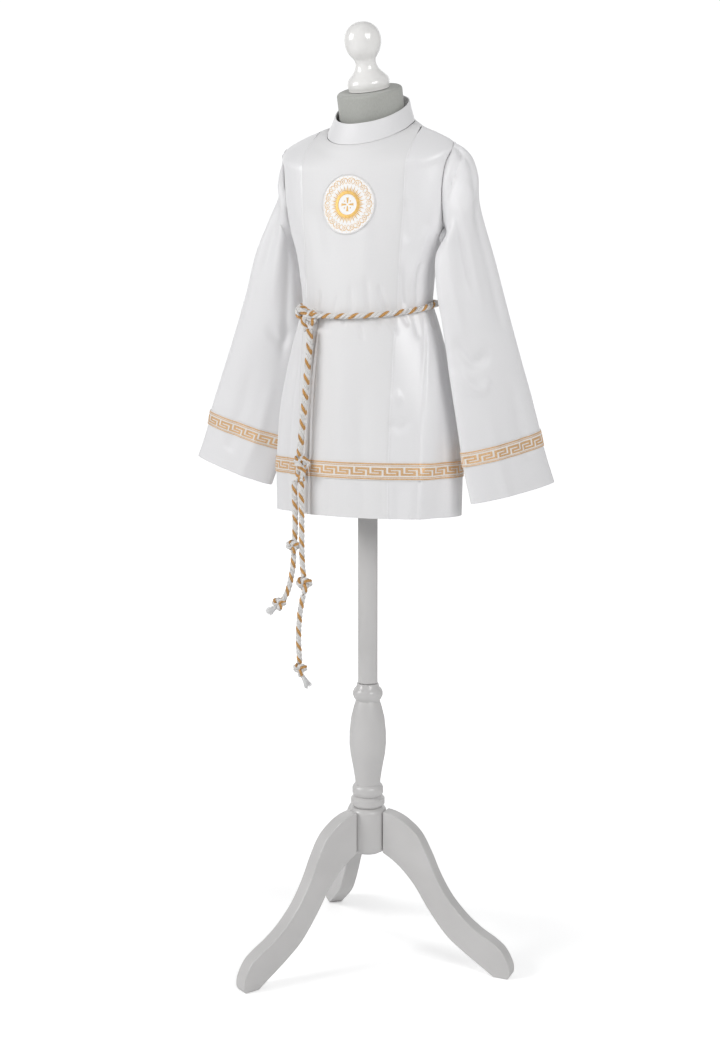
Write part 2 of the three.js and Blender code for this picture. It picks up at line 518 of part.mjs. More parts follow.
// ---- dress form and stand -----------------------------------------------------------------
/** A solid lofted through tilted oval rings and closed flat at both ends. */
function loft(rings) {
  const count = rings[0].length;
  const positions = rings.flat().flatMap((p) => p.toArray());
  const ends = [rings[0], rings[rings.length - 1]].map((ring) => {
    const centre = ring.reduce((sum, p) => sum.add(p), new THREE.Vector3()).divideScalar(count);
    positions.push(...centre.toArray());
    return positions.length / 3 - 1;
  });
  const index = [];
  const top = (rings.length - 1) * count;
  for (let i = 0; i < count; i += 1) {
    const next = (i + 1) % count;
    for (let j = 0; j < rings.length - 1; j += 1) {
      const a = j * count;
      const b = a + count;
      index.push(a + i, a + next, b + next, a + i, b + next, b + i);
    }
    index.push(ends[0], next, i, ends[1], top + i, top + next);
  }
  return facingOut(positions, index);
}

const ovalRing = (row, count = 28) => Array.from({ length: count }, (_, i) => ringPoint(row, (2 * Math.PI * i) / count));

/** A ring of the neck block's rounded top edge, in its tilted plane. */
function neckEdge(radius, drop) {
  const rise = Math.tan(NECK_TILT);
  const z = NECK_TOP.z - drop;
  return ovalRing({
    zFront: z - radius * rise, zSide: z, zBack: z + radius * rise,
    half: radius, front: radius, back: radius, centre: NECK_TOP.y + drop * rise,
  });
}

function neckBlock() {
  const { radius, edge } = NECK_TOP;
  return loft([...NECK_ROWS.map((row) => ovalRing(row)), neckEdge(radius, edge), neckEdge(radius - 1.5, edge * 0.3),
    neckEdge(radius - edge, 0)]);
}

function turned(profile, segments = 20) {
  const points = profile.map(([radius, height]) => new THREE.Vector2(radius, height));
  return new THREE.LatheGeometry(points, segments).rotateX(Math.PI / 2);
}

function finial() {
  const geometry = turned(FINIAL_PROFILE, 24);
  geometry.rotateX(NECK_TILT);
  const clear = GAP / Math.cos(NECK_TILT);
  return geometry.translate(0, NECK_TOP.y, NECK_TOP.z + clear);
}

function pole() {
  const height = POLE.top - POLE.bottom - GAP;
  return new THREE.CylinderGeometry(POLE.radius, POLE.radius, height, 24)
    .rotateX(Math.PI / 2).translate(0, 0, POLE.bottom + height / 2);
}

/** One S-shaped leg board, pointing along -Y before it is turned. */
function leg(direction) {
  const outline = new THREE.Shape();
  outline.moveTo(...LEG_TOP_EDGE[0]);
  outline.splineThru(LEG_TOP_EDGE.slice(1).map((p) => new THREE.Vector2(...p)));
  outline.lineTo(...LEG_UNDER_EDGE[0]);
  outline.splineThru(LEG_UNDER_EDGE.slice(1).map((p) => new THREE.Vector2(...p)));
  outline.closePath();
  const geometry = new THREE.ExtrudeGeometry(outline, { depth: LEG.thickness, bevelEnabled: false, curveSegments: 2 });
  geometry.translate(0, 0, -LEG.thickness / 2).rotateX(Math.PI / 2).rotateZ(-Math.PI / 2);
  return geometry.rotateZ(rad(direction));
}

// ---- assembly -----------------------------------------------------------------------------
const alb = new THREE.Group();
alb.position.set(-FOOTPRINT_CENTRE.x, -FOOTPRINT_CENTRE.y, 0);

function add(name, geometry, material) {
  const mesh = new THREE.Mesh(geometry, material);
  mesh.name = name;
  alb.add(mesh);
}

const sleeveShapes = {
  left: sleeveSurface(LEFT_SLEEVE, 1),
  right: sleeveSurface(RIGHT_SLEEVE, -1),
};
for (const [name, panel] of Object.entries(PANELS)) add(name, bodyPanel(panel), MATERIALS.cloth);
add('collar', collar(), MATERIALS.cloth);
for (const [side, shape] of Object.entries(sleeveShapes)) {
  add(`sleeve_${side}`, sleeve(shape), MATERIALS.cloth);
  add(`band_sleeve_${side}`, sleeveBand(shape), MATERIALS.galloon);
}
add('band_body', bodyBand(), MATERIALS.galloon);
add('medallion', medallion(), MATERIALS.medallion);
add('girdle_waist', belt(), MATERIALS.cord);
for (const [name, route] of Object.entries(ROUTES)) add(`cord_${name}`, tube(route), MATERIALS.cord);
for (const [name, shape] of Object.entries(KNOTS)) add(name, knot(shape), MATERIALS.cord);
for (const [name, shape] of Object.entries(TIPS)) add(name, tip(shape), MATERIALS.cord);
add('form_torso', loft(TORSO_ROWS.map((row) => ovalRing(row))), MATERIALS.jersey);
add('form_neck', neckBlock(), MATERIALS.jersey);
add('form_finial', finial(), MATERIALS.finial);
add('stand_pole', pole(), MATERIALS.paint);
add('stand_post', turned(POST_PROFILE), MATERIALS.paint);
add('stand_hub', turned(HUB_PROFILE), MATERIALS.paint);
LEG.directions.forEach((direction, i) => add(`stand_leg_${i + 1}`, leg(direction), MATERIALS.paint));

export default alb;
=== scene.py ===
"""The looks of a child's short white alb on its limbless dress form and tripod stand.

Metres, +Z up, the garment's front facing -Y and the wearer's left +X. The garment's
tables are in millimetres from the post's axis at the floor; Frame.place() moves them to
the part's own origin.
"""

import logging
import math
from collections.abc import Callable
from dataclasses import dataclass, field
from enum import Enum

import bpy
import numpy as np
from mathutils import Matrix, Vector


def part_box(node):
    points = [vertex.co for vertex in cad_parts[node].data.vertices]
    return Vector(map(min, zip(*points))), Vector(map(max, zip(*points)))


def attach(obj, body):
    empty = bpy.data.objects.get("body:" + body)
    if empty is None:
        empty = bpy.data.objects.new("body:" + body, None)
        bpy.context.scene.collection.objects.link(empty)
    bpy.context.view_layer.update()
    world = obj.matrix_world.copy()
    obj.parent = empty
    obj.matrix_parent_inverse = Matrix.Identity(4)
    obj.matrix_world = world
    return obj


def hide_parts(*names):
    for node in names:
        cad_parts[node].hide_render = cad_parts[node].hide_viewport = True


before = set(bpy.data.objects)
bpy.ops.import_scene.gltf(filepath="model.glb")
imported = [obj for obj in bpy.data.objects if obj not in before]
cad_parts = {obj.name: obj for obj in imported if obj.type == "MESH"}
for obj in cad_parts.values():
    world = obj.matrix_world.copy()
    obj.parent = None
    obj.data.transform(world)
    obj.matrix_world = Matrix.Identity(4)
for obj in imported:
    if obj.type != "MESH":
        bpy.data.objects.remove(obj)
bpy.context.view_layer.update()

LOG = logging.getLogger("alb")
MM = 0.001


# ---- the shared frame ----------------------------------------------------------------
class Frame:
    """Where the post's axis stands in the part's frame."""

    _low, _high = (np.array(corner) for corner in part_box("stand_hub"))
    AXIS = np.array([*((_low + _high) / 2)[:2], 0.0])

    @classmethod
    def place(cls, points: np.ndarray) -> np.ndarray:
        """Millimetres from the post's axis, as metres in the part's frame."""
        return np.asarray(points, float) * MM + cls.AXIS


# ---- meshes --------------------------------------------------------------------------
def smoothstep(value: np.ndarray, low: float, high: float) -> np.ndarray:
    """An even ramp from 0 at low to 1 at high."""
    t = np.clip((value - low) / (high - low), 0, 1)
    return t * t * (3 - 2 * t)


def row_at(table: np.ndarray, place: np.ndarray) -> np.ndarray:
    """Rows part of the way between a table's rows, on a smooth curve.

    Args:
        table: one row of numbers for each section.
        place: the places wanted, counted in rows.

    Returns:
        One row of numbers for each place.
    """
    last = len(table) - 1
    place = np.clip(place, 0, last)
    start = np.clip(np.floor(place).astype(int), 0, last - 1)
    t = (place - start)[..., None]
    a, b, c, d = (table[np.clip(start + k, 0, last)] for k in (-1, 0, 1, 2))
    return b + 0.5 * t * (c - a + t * (2 * a - 5 * b + 4 * c - d + t * (3 * (b - c) + d - a)))


def unit(vectors: np.ndarray) -> np.ndarray:
    """Vectors made one long."""
    return vectors / np.maximum(np.linalg.norm(vectors, axis=-1, keepdims=True), 1e-12)


def oval(row: np.ndarray, phi: np.ndarray) -> np.ndarray:
    """Points of tilted oval rings.

    Args:
        row: front, side and back heights, half width, front and back depths, centre's y.
        phi: angles from centre front towards the wearer's left.

    Returns:
        The points, in the row's own units.
    """
    ahead = np.cos(phi)
    front = ahead > 0
    end = np.where(front, row[..., 0], row[..., 2])
    depth = np.where(front, row[..., 4], row[..., 5])
    z = row[..., 1] + (end - row[..., 1]) * np.abs(ahead)
    return np.stack([row[..., 3] * np.sin(phi), row[..., 6] - depth * ahead, z], -1)


def new_object(name: str, vertices: np.ndarray, faces: list, uvs: np.ndarray | None = None,
               sharp: float = 50.0) -> bpy.types.Object:
    """A smooth-shaded mesh object at the origin.

    Args:
        name: the piece's name.
        vertices: its points, in metres in the part's frame.
        faces: each face's vertex numbers.
        uvs: a flat place, in metres, for each vertex.
        sharp: the angle in degrees above which an edge stays sharp.

    Returns:
        The new object, linked to the scene.
    """
    mesh = bpy.data.meshes.new(name)
    mesh.from_pydata(np.asarray(vertices).tolist(), [], faces)
    if uvs is not None:
        layer = mesh.uv_layers.new(name="cut")
        corners = np.empty(len(mesh.loops), int)
        mesh.loops.foreach_get("vertex_index", corners)
        layer.data.foreach_set("uv", np.asarray(uvs)[corners].ravel())
    mesh.shade_smooth()
    mesh.set_sharp_from_angle(angle=math.radians(sharp))
    mesh.update()
    piece = bpy.data.objects.new(name, mesh)
    bpy.context.collection.objects.link(piece)
    return piece


def grid_normals(points: np.ndarray) -> np.ndarray:
    """A unit normal for each point of an open grid."""
    return unit(np.cross(np.gradient(points, axis=1), np.gradient(points, axis=0)))


def run_along(line: np.ndarray) -> np.ndarray:
    """How far each point of a line is along it."""
    return np.concatenate([[0], np.cumsum(np.linalg.norm(np.diff(line, axis=0), axis=1))])


def ring_faces(rows: int, count: int) -> list[tuple[int, ...]]:
    """The side faces between rings that run upwards.

    Args:
        rows: how many rings there are.
        count: how many points each ring has.

    Returns:
        Each face's vertex numbers.
    """
    faces = []
    for j in range(rows - 1):
        low, high = j * count, (j + 1) * count
        faces += [(low + i, low + (i + 1) % count, high + (i + 1) % count, high + i)
                  for i in range(count)]
    return faces


def flat_places(points: np.ndarray) -> np.ndarray:
    """How far each point of a grid is along its row and up its column, in metres."""
    across = np.linalg.norm(np.diff(points, axis=1), axis=-1)
    upward = np.linalg.norm(np.diff(points, axis=0), axis=-1)
    u = np.pad(np.cumsum(across, 1), ((0, 0), (1, 0)))
    v = np.pad(np.cumsum(upward, 0), ((1, 0), (0, 0)))
    return np.stack([u, v], -1)


def shell(name: str, points: np.ndarray, normals: np.ndarray, thickness: float,
          loop: bool = False) -> bpy.types.Object:
    """A closed wall behind a grid of points.

    Args:
        name: the piece's name.
        points: rows and columns of the outer face's points, in metres.
        normals: their outward normals.
        thickness: the wall's thickness in metres.
        loop: whether the last column meets the first.

    Returns:
        The wall, with flat places as its UV map.
    """
    rows, columns = points.shape[:2]
    count = rows * columns
    vertices = np.concatenate([points.reshape(-1, 3), (points - normals * thickness).reshape(-1, 3)])
    spans = columns if loop else columns - 1
    j, i = np.meshgrid(np.arange(rows - 1), np.arange(spans), indexing="ij")
    beside = (i + 1) % columns
    a, b = j * columns + i, j * columns + beside
    d, c = a + columns, b + columns
    faces = [np.stack([a, b, c, d], -1).reshape(-1, 4), np.stack([a, d, c, b], -1).reshape(-1, 4) + count]

    def rim(first: np.ndarray, second: np.ndarray) -> None:
        """Faces from one edge of the outer face to the inner face."""
        faces.append(np.stack([second, first, first + count, second + count], -1).reshape(-1, 4))

    rim(a[0], b[0])
    rim(c[-1], d[-1])
    if not loop:
        rim(d[:, 0], a[:, 0])
        rim(b[:, -1], c[:, -1])
    quads = np.concatenate(faces)
    facing = np.cross(points[0, 1] - points[0, 0], points[1, 0] - points[0, 0]) @ normals[0, 0]
    if facing < 0:
        quads = quads[:, ::-1]
    uvs = flat_places(points).reshape(-1, 2)
    return new_object(name, vertices, quads.tolist(), np.concatenate([uvs, uvs]))


def loft(name: str, rings: np.ndarray) -> bpy.types.Object:
    """A solid through rings that run upwards, with flat ends, in millimetres from the axis."""
    rows, count = rings.shape[:2]
    points = Frame.place(rings.reshape(-1, 3))
    faces = ring_faces(rows, count)
    faces.append(tuple(range(count))[::-1])
    faces.append(tuple(range((rows - 1) * count, rows * count)))
    return new_object(name, points, faces, sharp=40)


# ---- node trees ----------------------------------------------------------------------
class Tree:
    """A short way to write a node tree."""

    def __init__(self, tree: bpy.types.NodeTree) -> None:
        """Start on an empty tree."""
        self.tree = tree

    def node(self, kind: str, inputs: dict | None = None, **settings: object) -> bpy.types.Node:
        """Add a node, set its properties, and link or fill its inputs.

        Args:
            kind: Blender's name of the node type.
            inputs: a value, or a socket to link from, for each input's name or number.
            settings: the node's own properties.

        Returns:
            The new node.
        """
        node = self.tree.nodes.new(kind)
        for key, value in settings.items():
            setattr(node, key, value)
        for key, value in (inputs or {}).items():
            if isinstance(value, bpy.types.NodeSocket):
                self.tree.links.new(value, node.inputs[key])
            else:
                node.inputs[key].default_value = value
        return node

    def math(self, operation: str, *values: object) -> bpy.types.NodeSocket:
        """One sum of the shader or geometry tree."""
        return self.node("ShaderNodeMath", dict(enumerate(values)), operation=operation).outputs[0]

    def vector(self, operation: str, *values: object) -> bpy.types.NodeSocket:
        """One vector sum; Scale takes its factor as the last value."""
        node = self.node("ShaderNodeVectorMath", operation=operation)
        for key, value in enumerate(values):
            target = node.inputs["Scale"] if operation == "SCALE" and key == 1 else node.inputs[key]
            if isinstance(value, bpy.types.NodeSocket):
                self.tree.links.new(value, target)
            else:
                target.default_value = value
        return node.outputs["Value" if operation in ("LENGTH", "DOT_PRODUCT") else "Vector"]


class Sockets(Enum):
    """The kinds of named input that the trees have."""

    GEOMETRY = "NodeSocketGeometry"
    FLOAT = "NodeSocketFloat"
    INTEGER = "NodeSocketInt"
    MATERIAL = "NodeSocketMaterial"
    VECTOR = "NodeSocketVector"


def group(name: str, kind: str, inputs: dict[str, Sockets],
          outputs: dict[str, Sockets]) -> tuple[Tree, bpy.types.Node, bpy.types.Node]:
    """An empty node group with named inputs and outputs.

    Args:
        name: the group's name.
        kind: GeometryNodeTree or ShaderNodeTree.
        inputs: each input's name and kind.
        outputs: each output's name and kind.

    Returns:
        Its writer, its input node and its output node.
    """
    tree = bpy.data.node_groups.new(name, kind)
    for label, socket in inputs.items():
        tree.interface.new_socket(label, in_out="INPUT", socket_type=socket.value)
    for label, socket in outputs.items():
        tree.interface.new_socket(label, in_out="OUTPUT", socket_type=socket.value)
    writer = Tree(tree)
    return writer, writer.node("NodeGroupInput"), writer.node("NodeGroupOutput")


def baked(piece: bpy.types.Object, tree: bpy.types.NodeTree,
          values: dict[str, object]) -> bpy.types.Object:
    """Run a geometry tree on an object and keep the result as its plain mesh.

    Args:
        piece: the object that the tree starts from.
        tree: the geometry tree.
        values: a value for each named input.

    Returns:
        The same object, with the new mesh and no modifier.
    """
    modifier = piece.modifiers.new(tree.name, "NODES")
    modifier.node_group = tree
    for item in tree.interface.items_tree:
        if item.in_out == "INPUT" and item.name in values:
            modifier[item.identifier] = values[item.name]
    piece.update_tag()
    bpy.context.view_layer.update()
    graph = bpy.context.evaluated_depsgraph_get()
    name = piece.name
    mesh = bpy.data.meshes.new_from_object(piece.evaluated_get(graph))
    result = bpy.data.objects.new(name, mesh)
    bpy.data.objects.remove(piece)
    bpy.context.collection.objects.link(result)
    result.name = result.data.name = name
    return result


def polyline(name: str, runs: list[np.ndarray], closed: bool = False) -> bpy.types.Object:
    """An object of bare edges along runs of points, in metres."""
    vertices, edges, start = [], [], 0
    for run in runs:
        vertices += np.asarray(run).tolist()
        edges += [(start + i, start + i + 1) for i in range(len(run) - 1)]
        if closed:
            edges.append((start + len(run) - 1, start))
        start += len(run)
    mesh = bpy.data.meshes.new(name)
    mesh.from_pydata(vertices, edges, [])
    piece = bpy.data.objects.new(name, mesh)
    bpy.context.collection.objects.link(piece)
    return piece


class Trees:
    """The geometry trees, each built once."""

    STRANDS = 3
    # the strands' middles and their own radii, as shares of the rope's radius
    STRAND_REACH = 0.52
    STRAND_RADII = (("Gold", 0.47), ("White", 0.48))

    @staticmethod
    def threaded(t: Tree, given: bpy.types.Node, out: bpy.types.Node,
                 geometry: bpy.types.NodeSocket) -> bpy.types.NodeTree:
        """End a tree with its geometry in the thread's material.

        Args:
            t: the tree's writer.
            given: its input node.
            out: its output node.
            geometry: the finished geometry.

        Returns:
            The tree.
        """
        done = t.node("GeometryNodeSetMaterial", {
            "Geometry": geometry, "Material": given.outputs["Thread"]})
        t.tree.links.new(done.outputs[0], out.inputs[0])
        return t.tree

    @staticmethod
    def stitches() -> bpy.types.NodeTree:
        """Short threads end to end along a line."""
        t, given, out = group(
            "stitch_line", "GeometryNodeTree",
            {"Line": Sockets.GEOMETRY, "Pitch": Sockets.FLOAT, "Length": Sockets.FLOAT,
             "Radius": Sockets.FLOAT, "Thread": Sockets.MATERIAL},
            {"Geometry": Sockets.GEOMETRY})
        curve = t.node("GeometryNodeMeshToCurve", {0: given.outputs["Line"]})
        points = t.node("GeometryNodeCurveToPoints", {
            0: curve.outputs[0], "Length": given.outputs["Pitch"]}, mode="LENGTH")
        thread = t.node("GeometryNodeMeshCylinder", {
            "Vertices": 6, "Radius": given.outputs["Radius"], "Depth": given.outputs["Length"]})
        placed = t.node("GeometryNodeInstanceOnPoints", {
            "Points": points.outputs["Points"], "Instance": thread.outputs["Mesh"],
            "Rotation": points.outputs["Rotation"]})
        real = t.node("GeometryNodeRealizeInstances", {0: placed.outputs[0]})
        return Trees.threaded(t, given, out, real.outputs[0])

    @staticmethod
    def repeat_round() -> bpy.types.NodeTree:
        """A motif repeated round a flat circle, its own +X pointing outwards."""
        t, given, out = group(
            "round_repeat", "GeometryNodeTree",
            {"Motif": Sockets.GEOMETRY, "Count": Sockets.INTEGER, "Radius": Sockets.FLOAT,
             "Turn": Sockets.FLOAT, "Thread": Sockets.MATERIAL},
            {"Geometry": Sockets.GEOMETRY})
        circle = t.node("GeometryNodeMeshCircle", {
            "Vertices": given.outputs["Count"], "Radius": given.outputs["Radius"]})
        index = t.node("GeometryNodeInputIndex").outputs[0]
        step = t.math("DIVIDE", 2 * math.pi, given.outputs["Count"])
        angle = t.math("MULTIPLY", index, step)
        spin = t.node("ShaderNodeCombineXYZ", {"Z": angle})
        placed = t.node("GeometryNodeInstanceOnPoints", {
            "Points": circle.outputs["Mesh"], "Instance": given.outputs["Motif"],
            "Rotation": spin.outputs[0]})
        real = t.node("GeometryNodeRealizeInstances", {0: placed.outputs[0]})
        whole = t.node("ShaderNodeCombineXYZ", {"Z": given.outputs["Turn"]})
        facing = t.node("GeometryNodeTransform", {
            "Geometry": real.outputs[0], "Rotation": whole.outputs[0]})
        return Trees.threaded(t, given, out, facing.outputs[0])

    @staticmethod
    def repeat_along() -> bpy.types.NodeTree:
        """A flat unit repeated along X."""
        t, given, out = group(
            "straight_repeat", "GeometryNodeTree",
            {"Unit": Sockets.GEOMETRY, "Count": Sockets.INTEGER, "Pitch": Sockets.FLOAT,
             "Thread": Sockets.MATERIAL},
            {"Geometry": Sockets.GEOMETRY})
        step = t.node("ShaderNodeCombineXYZ", {"X": given.outputs["Pitch"]})
        line = t.node("GeometryNodeMeshLine", {
            "Count": given.outputs["Count"], "Offset": step.outputs[0]})
        placed = t.node("GeometryNodeInstanceOnPoints", {
            "Points": line.outputs["Mesh"], "Instance": given.outputs["Unit"]})
        real = t.node("GeometryNodeRealizeInstances", {0: placed.outputs[0]})
        return Trees.threaded(t, given, out, real.outputs[0])

    @staticmethod
    def rope() -> bpy.types.NodeTree:
        """Three thick strands laid round a line, one of them gold."""
        t, given, out = group(
            "laid_rope", "GeometryNodeTree",
            {"Line": Sockets.GEOMETRY, "Step": Sockets.FLOAT, "Lay": Sockets.FLOAT,
             "Radius": Sockets.FLOAT, "White": Sockets.MATERIAL, "Gold": Sockets.MATERIAL},
            {"Geometry": Sockets.GEOMETRY})
        curve = t.node("GeometryNodeMeshToCurve", {0: given.outputs["Line"]})
        even = t.node("GeometryNodeResampleCurve", {
            "Curve": curve.outputs[0], "Length": given.outputs["Step"]}, mode="LENGTH")
        along = t.node("GeometryNodeSplineParameter").outputs["Length"]
        tangent = t.node("GeometryNodeInputTangent").outputs[0]
        normal = t.node("GeometryNodeInputNormal").outputs[0]
        side = t.vector("CROSS_PRODUCT", tangent, normal)
        turns = t.math("MULTIPLY", t.math("DIVIDE", along, given.outputs["Lay"]), -2 * math.pi)
        marked = t.node("GeometryNodeStoreNamedAttribute", {
            "Geometry": even.outputs[0], "Name": "along", "Value": along}, data_type="FLOAT")
        reach = t.math("MULTIPLY", given.outputs["Radius"], Trees.STRAND_REACH)
        profiles = {}
        for colour, share in Trees.STRAND_RADII:
            thick = t.math("MULTIPLY", given.outputs["Radius"], share)
            ring = t.node("GeometryNodeCurvePrimitiveCircle", {"Resolution": 12, "Radius": thick})
            profiles[colour] = t.node("GeometryNodeStoreNamedAttribute", {
                "Geometry": ring.outputs["Curve"], "Name": "around",
                "Value": t.node("GeometryNodeSplineParameter").outputs["Factor"]},
                data_type="FLOAT").outputs[0]
        whole = t.node("GeometryNodeJoinGeometry")
        for strand in range(Trees.STRANDS):
            angle = t.math("ADD", turns, strand * 2 * math.pi / Trees.STRANDS)
            offset = t.vector("ADD", t.vector("SCALE", normal, t.math("COSINE", angle)),
                              t.vector("SCALE", side, t.math("SINE", angle)))
            moved = t.node("GeometryNodeSetPosition", {
                "Geometry": marked.outputs[0], "Offset": t.vector("SCALE", offset, reach)})
            colour = "Gold" if strand == 0 else "White"
            tube = t.node("GeometryNodeCurveToMesh", {
                "Curve": moved.outputs[0], "Profile Curve": profiles[colour], "Fill Caps": True})
            dressed = t.node("GeometryNodeSetMaterial", {
                "Geometry": tube.outputs[0], "Material": given.outputs[colour]})
            t.tree.links.new(dressed.outputs[0], whole.inputs[0])
        smooth = t.node("GeometryNodeSetShadeSmooth", {"Geometry": whole.outputs[0]})
        real = t.node("GeometryNodeRealizeInstances", {0: smooth.outputs[0]})
        t.tree.links.new(real.outputs[0], out.inputs[0])
        return t.tree


# ---- finishes ------------------------------------------------------------------------
class Effects:
    """Shader groups that several finishes share."""

    @staticmethod
    def weave() -> bpy.types.NodeTree:
        """A fine weave: its height, and a mottle from 0 to 1."""
        t, given, out = group(
            "fine_weave", "ShaderNodeTree",
            {"Place": Sockets.VECTOR, "Threads": Sockets.FLOAT, "Mottle": Sockets.FLOAT},
            {"Height": Sockets.FLOAT, "Mottle": Sockets.FLOAT})
        scaled = t.vector("SCALE", given.outputs["Place"], given.outputs["Threads"])
        split = t.node("ShaderNodeSeparateXYZ", {0: scaled})
        warp = t.math("SINE", t.math("MULTIPLY", split.outputs["X"], 2 * math.pi))
        weft = t.math("SINE", t.math("MULTIPLY", split.outputs["Y"], 2 * math.pi))
        noise = t.node("ShaderNodeTexNoise", {
            "Vector": given.outputs["Place"], "Scale": given.outputs["Mottle"],
            "Detail": 4.0, "Roughness": 0.6})
        slubs = t.math("MULTIPLY", noise.outputs["Fac"], 0.6)
        both = t.math("ADD", t.math("MULTIPLY", warp, weft), slubs)
        t.tree.links.new(both, out.inputs["Height"])
        t.tree.links.new(noise.outputs["Fac"], out.inputs["Mottle"])
        return t.tree

    @staticmethod
    def wear() -> bpy.types.NodeTree:
        """Broad and fine unevenness of a painted or sprayed surface."""
        t, given, out = group(
            "surface_wear", "ShaderNodeTree",
            {"Place": Sockets.VECTOR, "Broad": Sockets.FLOAT, "Fine": Sockets.FLOAT},
            {"Cloud": Sockets.FLOAT, "Grain": Sockets.FLOAT})
        for scale, detail, result in (("Broad", 3.0, "Cloud"), ("Fine", 2.0, "Grain")):
            noise = t.node("ShaderNodeTexNoise", {
                "Vector": given.outputs["Place"], "Scale": given.outputs[scale], "Detail": detail})
            t.tree.links.new(noise.outputs["Fac"], out.inputs[result])
        return t.tree


@dataclass(frozen=True)
class Finish:
    """What every finish has: its name, two colours that it varies between, and roughness."""

    name: str
    light: tuple[float, float, float]
    dark: tuple[float, float, float]
    roughness: float

    def start(self) -> tuple[bpy.types.Material, Tree, bpy.types.Node]:
        """A new material, its tree's writer and its surface shader."""
        material = bpy.data.materials.new(self.name)
        material.use_nodes = True
        writer = Tree(material.node_tree)
        shader = next(n for n in material.node_tree.nodes if n.type == "BSDF_PRINCIPLED")
        shader.inputs["Roughness"].default_value = self.roughness
        return material, writer, shader

    def shade(self, t: Tree, shader: bpy.types.Node, factor: bpy.types.NodeSocket,
              low: float = 0.35, high: float = 0.65) -> None:
        """Colour the shader between dark and light by a factor."""
        ramp = t.node("ShaderNodeMapRange", {"Value": factor, "From Min": low, "From Max": high})
        mix = t.node("ShaderNodeMix", {"Factor": ramp.outputs[0]}, data_type="RGBA")
        colours = [s for s in mix.inputs if s.type == "RGBA"]
        colours[0].default_value = (*self.dark, 1)
        colours[1].default_value = (*self.light, 1)
        result = next(s for s in mix.outputs if s.type == "RGBA")
        t.tree.links.new(result, shader.inputs["Base Color"])

    def relief(self, t: Tree, shader: bpy.types.Node, height: bpy.types.NodeSocket, strength: float,
               distance: float) -> None:
        """Bump the shader's normal by a height."""
        bump = t.node("ShaderNodeBump", {"Height": height, "Strength": strength, "Distance": distance})
        t.tree.links.new(bump.outputs[0], shader.inputs["Normal"])

    def unevenness(self, t: Tree, place: bpy.types.NodeSocket, broad: float,
                   fine: float) -> bpy.types.Node:
        """The shared broad and fine noise at two scales."""
        return t.node("ShaderNodeGroup", {"Place": place, "Broad": broad, "Fine": fine},
                      node_tree=bpy.data.node_groups["surface_wear"])


@dataclass(frozen=True)
class Cloth(Finish):
    """A woven cloth, read from the piece's own flat places."""

    threads: float = 1800.0
    mottle: float = 320.0
    sheen: float = 0.15
    gloss: float = 0.35

    def make(self) -> bpy.types.Material:
        """The material."""
        material, t, shader = self.start()
        place = t.node("ShaderNodeUVMap", uv_map="cut").outputs[0]
        weave = t.node("ShaderNodeGroup", {
            "Place": place, "Threads": self.threads, "Mottle": self.mottle},
            node_tree=bpy.data.node_groups["fine_weave"])
        self.shade(t, shader, weave.outputs["Mottle"])
        self.relief(t, shader, weave.outputs["Height"], strength=0.12, distance=0.00012)
        shader.inputs["Sheen Weight"].default_value = self.sheen
        shader.inputs["Sheen Roughness"].default_value = 0.4
        shader.inputs["Specular IOR Level"].default_value = self.gloss
        return material


@dataclass(frozen=True)
class Thread(Finish):
    """Metal or rayon yarn, with a fine grain on the object's own coordinates."""

    metal: float = 0.0
    grain: float = 900.0

    def make(self) -> bpy.types.Material:
        """The material."""
        material, t, shader = self.start()
        place = t.node("ShaderNodeTexCoord").outputs["Object"]
        wear = self.unevenness(t, place, self.grain / 4, self.grain)
        self.shade(t, shader, wear.outputs["Grain"])
        self.relief(t, shader, wear.outputs["Grain"], strength=0.5, distance=0.0003)
        shader.inputs["Metallic"].default_value = self.metal
        return material


@dataclass(frozen=True)
class Strand(Finish):
    """A rope strand: its own yarns twist against the rope's lay, with painted shade in the grooves between
    them.
    """

    metal: float = 0.0
    yarns: float = 7.0
    twist: float = 0.016

    def make(self) -> bpy.types.Material:
        """The material."""
        material, t, shader = self.start()
        along = t.node("ShaderNodeAttribute", attribute_name="along").outputs["Fac"]
        around = t.node("ShaderNodeAttribute", attribute_name="around").outputs["Fac"]
        laid = t.math("DIVIDE", along, self.twist)
        turn = t.math("ADD", t.math("MULTIPLY", around, self.yarns), laid)
        wave = t.math("SINE", t.math("MULTIPLY", turn, 2 * math.pi))
        place = t.node("ShaderNodeTexCoord").outputs["Object"]
        wear = self.unevenness(t, place, broad=120.0, fine=1500.0)
        height = t.math("ADD", wave, wear.outputs["Grain"])
        # painted shade: the grooves between the yarns take the dark colour, their crowns the light one
        self.shade(t, shader, height, low=-0.4, high=0.9)
        self.relief(t, shader, height, strength=0.6, distance=0.0004)
        shader.inputs["Metallic"].default_value = self.metal
        shader.inputs["Sheen Weight"].default_value = 0.2
        return material


@dataclass(frozen=True)
class Paint(Finish):
    """Sprayed paint or lacquer on turned wood, with faint brush and dust unevenness."""

    coat: float = 0.0
    broad: float = 14.0
    fine: float = 500.0
    bump: float = 0.05
    glow: float = 0.0

    # metres from the middle of the floor over which its glow doubles
    GLOW_SPAN = (0.3, 2.2)

    def make(self) -> bpy.types.Material:
        """The material."""
        material, t, shader = self.start()
        place = t.node("ShaderNodeTexCoord").outputs["Object"]
        wear = self.unevenness(t, place, self.broad, self.fine)
        self.shade(t, shader, wear.outputs["Cloud"])
        self.relief(t, shader, wear.outputs["Grain"], self.bump, distance=0.0004)
        shader.inputs["Coat Weight"].default_value = self.coat
        shader.inputs["Coat Roughness"].default_value = 0.08
        shader.inputs["Emission Color"].default_value = (1, 1, 1, 1)
        if self.glow:
            seen = t.node("ShaderNodeLightPath").outputs["Is Camera Ray"]
            near, distant = self.GLOW_SPAN
            far = t.node("ShaderNodeMapRange", {
                "Value": t.vector("LENGTH", place), "From Min": near, "From Max": distant,
                "To Min": self.glow, "To Max": 2 * self.glow})
            t.tree.links.new(t.math("MULTIPLY", seen, far.outputs[0]), shader.inputs["Emission Strength"])
        return material


